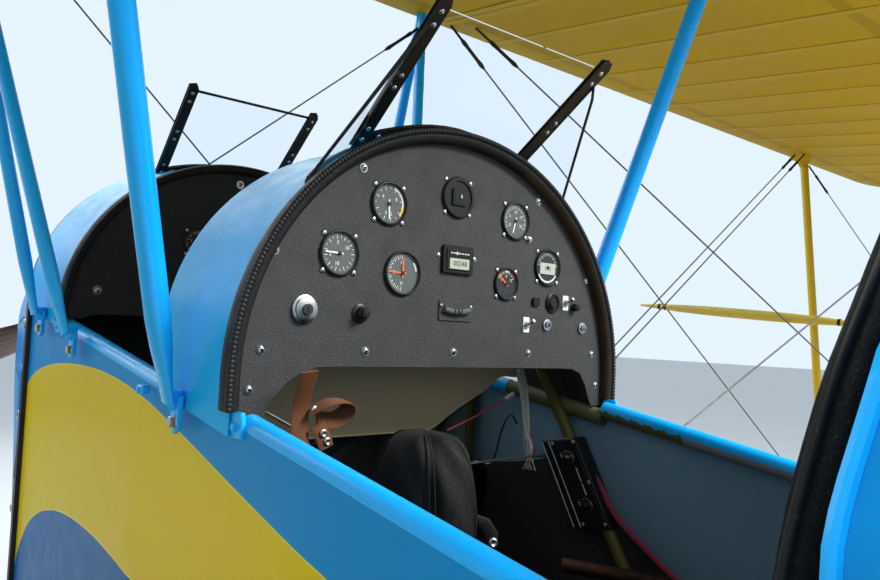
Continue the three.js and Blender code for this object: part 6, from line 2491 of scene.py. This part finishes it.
# the side lining on the starboard wall: black cloth with a piped edge, run down to the floor partly as
# painted shade for the wall's lower part
lining_black_shade = cloth("lining_black_shade", linear(16, 15, 17), 0.0018, 0.9, 0.1)
lining_edge = cloth("lining_edge", linear(140, 16, 62), 0.003, 0.7, 0.3)
form = Form()
LINING_WAVE = [(-0.46, 0.0085), (-0.2, 0.0085), (-0.08, 0.0), (0.0, 0.0), (0.5, 0.0)]
LINING = [
    # y, height of the top edge
    (-0.46, -0.156), (-0.315, -0.137), (-0.111, -0.104), (-0.045, -0.07), (-0.018, -0.08),
    (0.024, -0.127), (0.06, -0.17), (0.115, -0.208), (0.173, -0.243), (0.3, -0.3),
    (0.44, -0.345),
]
rows = []
for i in range(81):
    y = -0.46 + 0.9 * i / 80
    top = along_table(LINING, y)
    drop = floor_line(y) + 0.03 - top
    wave = 0.0015 * sin(22 * y) + along_table(LINING_WAVE, y)
    rows.append([spot(-0.3165 + wave, y, top + drop * k / 8) for k in range(9)])
form.rows(rows, 0)
form.tube([row[0] + Vector((0.0012, 0, 0)) for row in rows[38:]], 0.0052, 1, 8, flatten=0.9)
side_lining = form.build("side_lining", lining_black_shade, lining_edge)
# a harness strap with press studs, and the throttle rod
strap_hide = leather("strap_hide", linear(98, 58, 28), 700, 0.25)
form = Form()
band = [(0.262, 0.04, 0.06), (0.257, 0.016, 0.016), (0.256, 0.015, -0.02),
        (0.25, 0.017, -0.045), (0.246, 0.02, -0.09)]
form.tube(smooth_path(band), 0.0125, 0, 14, flatten=0.16, up=(0, 1, 0.2))
loop = [(0.246, 0.018, 0.01), (0.226, 0.028, 0.022), (0.2, 0.026, 0.022),
        (0.19, 0.016, 0.01), (0.204, 0.01, -0.002), (0.232, 0.012, 0.0)]
form.tube(smooth_path(loop), 0.0115, 0, 14, flatten=0.16, up=(0.2, 0.3, 1))
tab = [spot(0.236, 0.021, -0.006), spot(0.228, 0.022, -0.02), spot(0.222, 0.022, -0.034)]
form.tube(tab, 0.0105, 0, 14, flatten=0.2, up=(0, 1, 0))
stud = [(0.0048, 0.0), (0.005, 0.0012), (0.0034, 0.0022), (0.0014, 0.0012)]
for at in (spot(0.229, 0.0245, -0.016), spot(0.223, 0.0245, -0.026), spot(0.241, 0.021, 0.012)):
    form.lathe(stud, facing(at, AFT), 1, 20)
form.build("harness_strap", strap_hide, steel, smooth=50)
form = Form()
rod = [spot(0.3, -0.048, 0.019), spot(0.234, -0.052, -0.014), spot(0.2, -0.06, -0.034)]
form.tube(rod, 0.0024, 0, 12)
form.tube([spot(0.2985, -0.048, 0.0185), spot(0.276, -0.0495, 0.0075)], 0.0055, 1, 16)
form.build("throttle_rod", steel, lead_white)
# rudder pedals hang under the rear panel and ahead of the front seat
form = Form()
for y, z in ((-0.33, -0.56), (-0.83, -0.47)):
    form.tube([spot(-0.2, y, z), spot(0.2, y, z)], 0.009, 0, 14)
    for sign in (1, -1):
        form.tube([spot(sign * 0.12, y, z), spot(sign * 0.12, y + 0.012, z + 0.1)], 0.007, 0, 12)
        pedal = standing(y + 0.02, z + 0.1, 0.15) @ shifted(sign * 0.12, 0, 0)
        form.plate(rounded(0.085, 0.1, 0.01), 0.003, pedal, 0, 0.0008)
        for k in range(4):
            form.plate(rounded(0.07, 0.006, 0.002, 2), 0.003,
                       pedal @ shifted(0, -0.03 + 0.02 * k, 0.003), 1)
    for x in (-0.2, 0.2):
        form.tube([spot(x, y, z), spot(x, y, floor_line(y) + 0.022)], 0.008, 0, 12)
form.build("rudder_pedals", dark_steel, tyre_rubber)
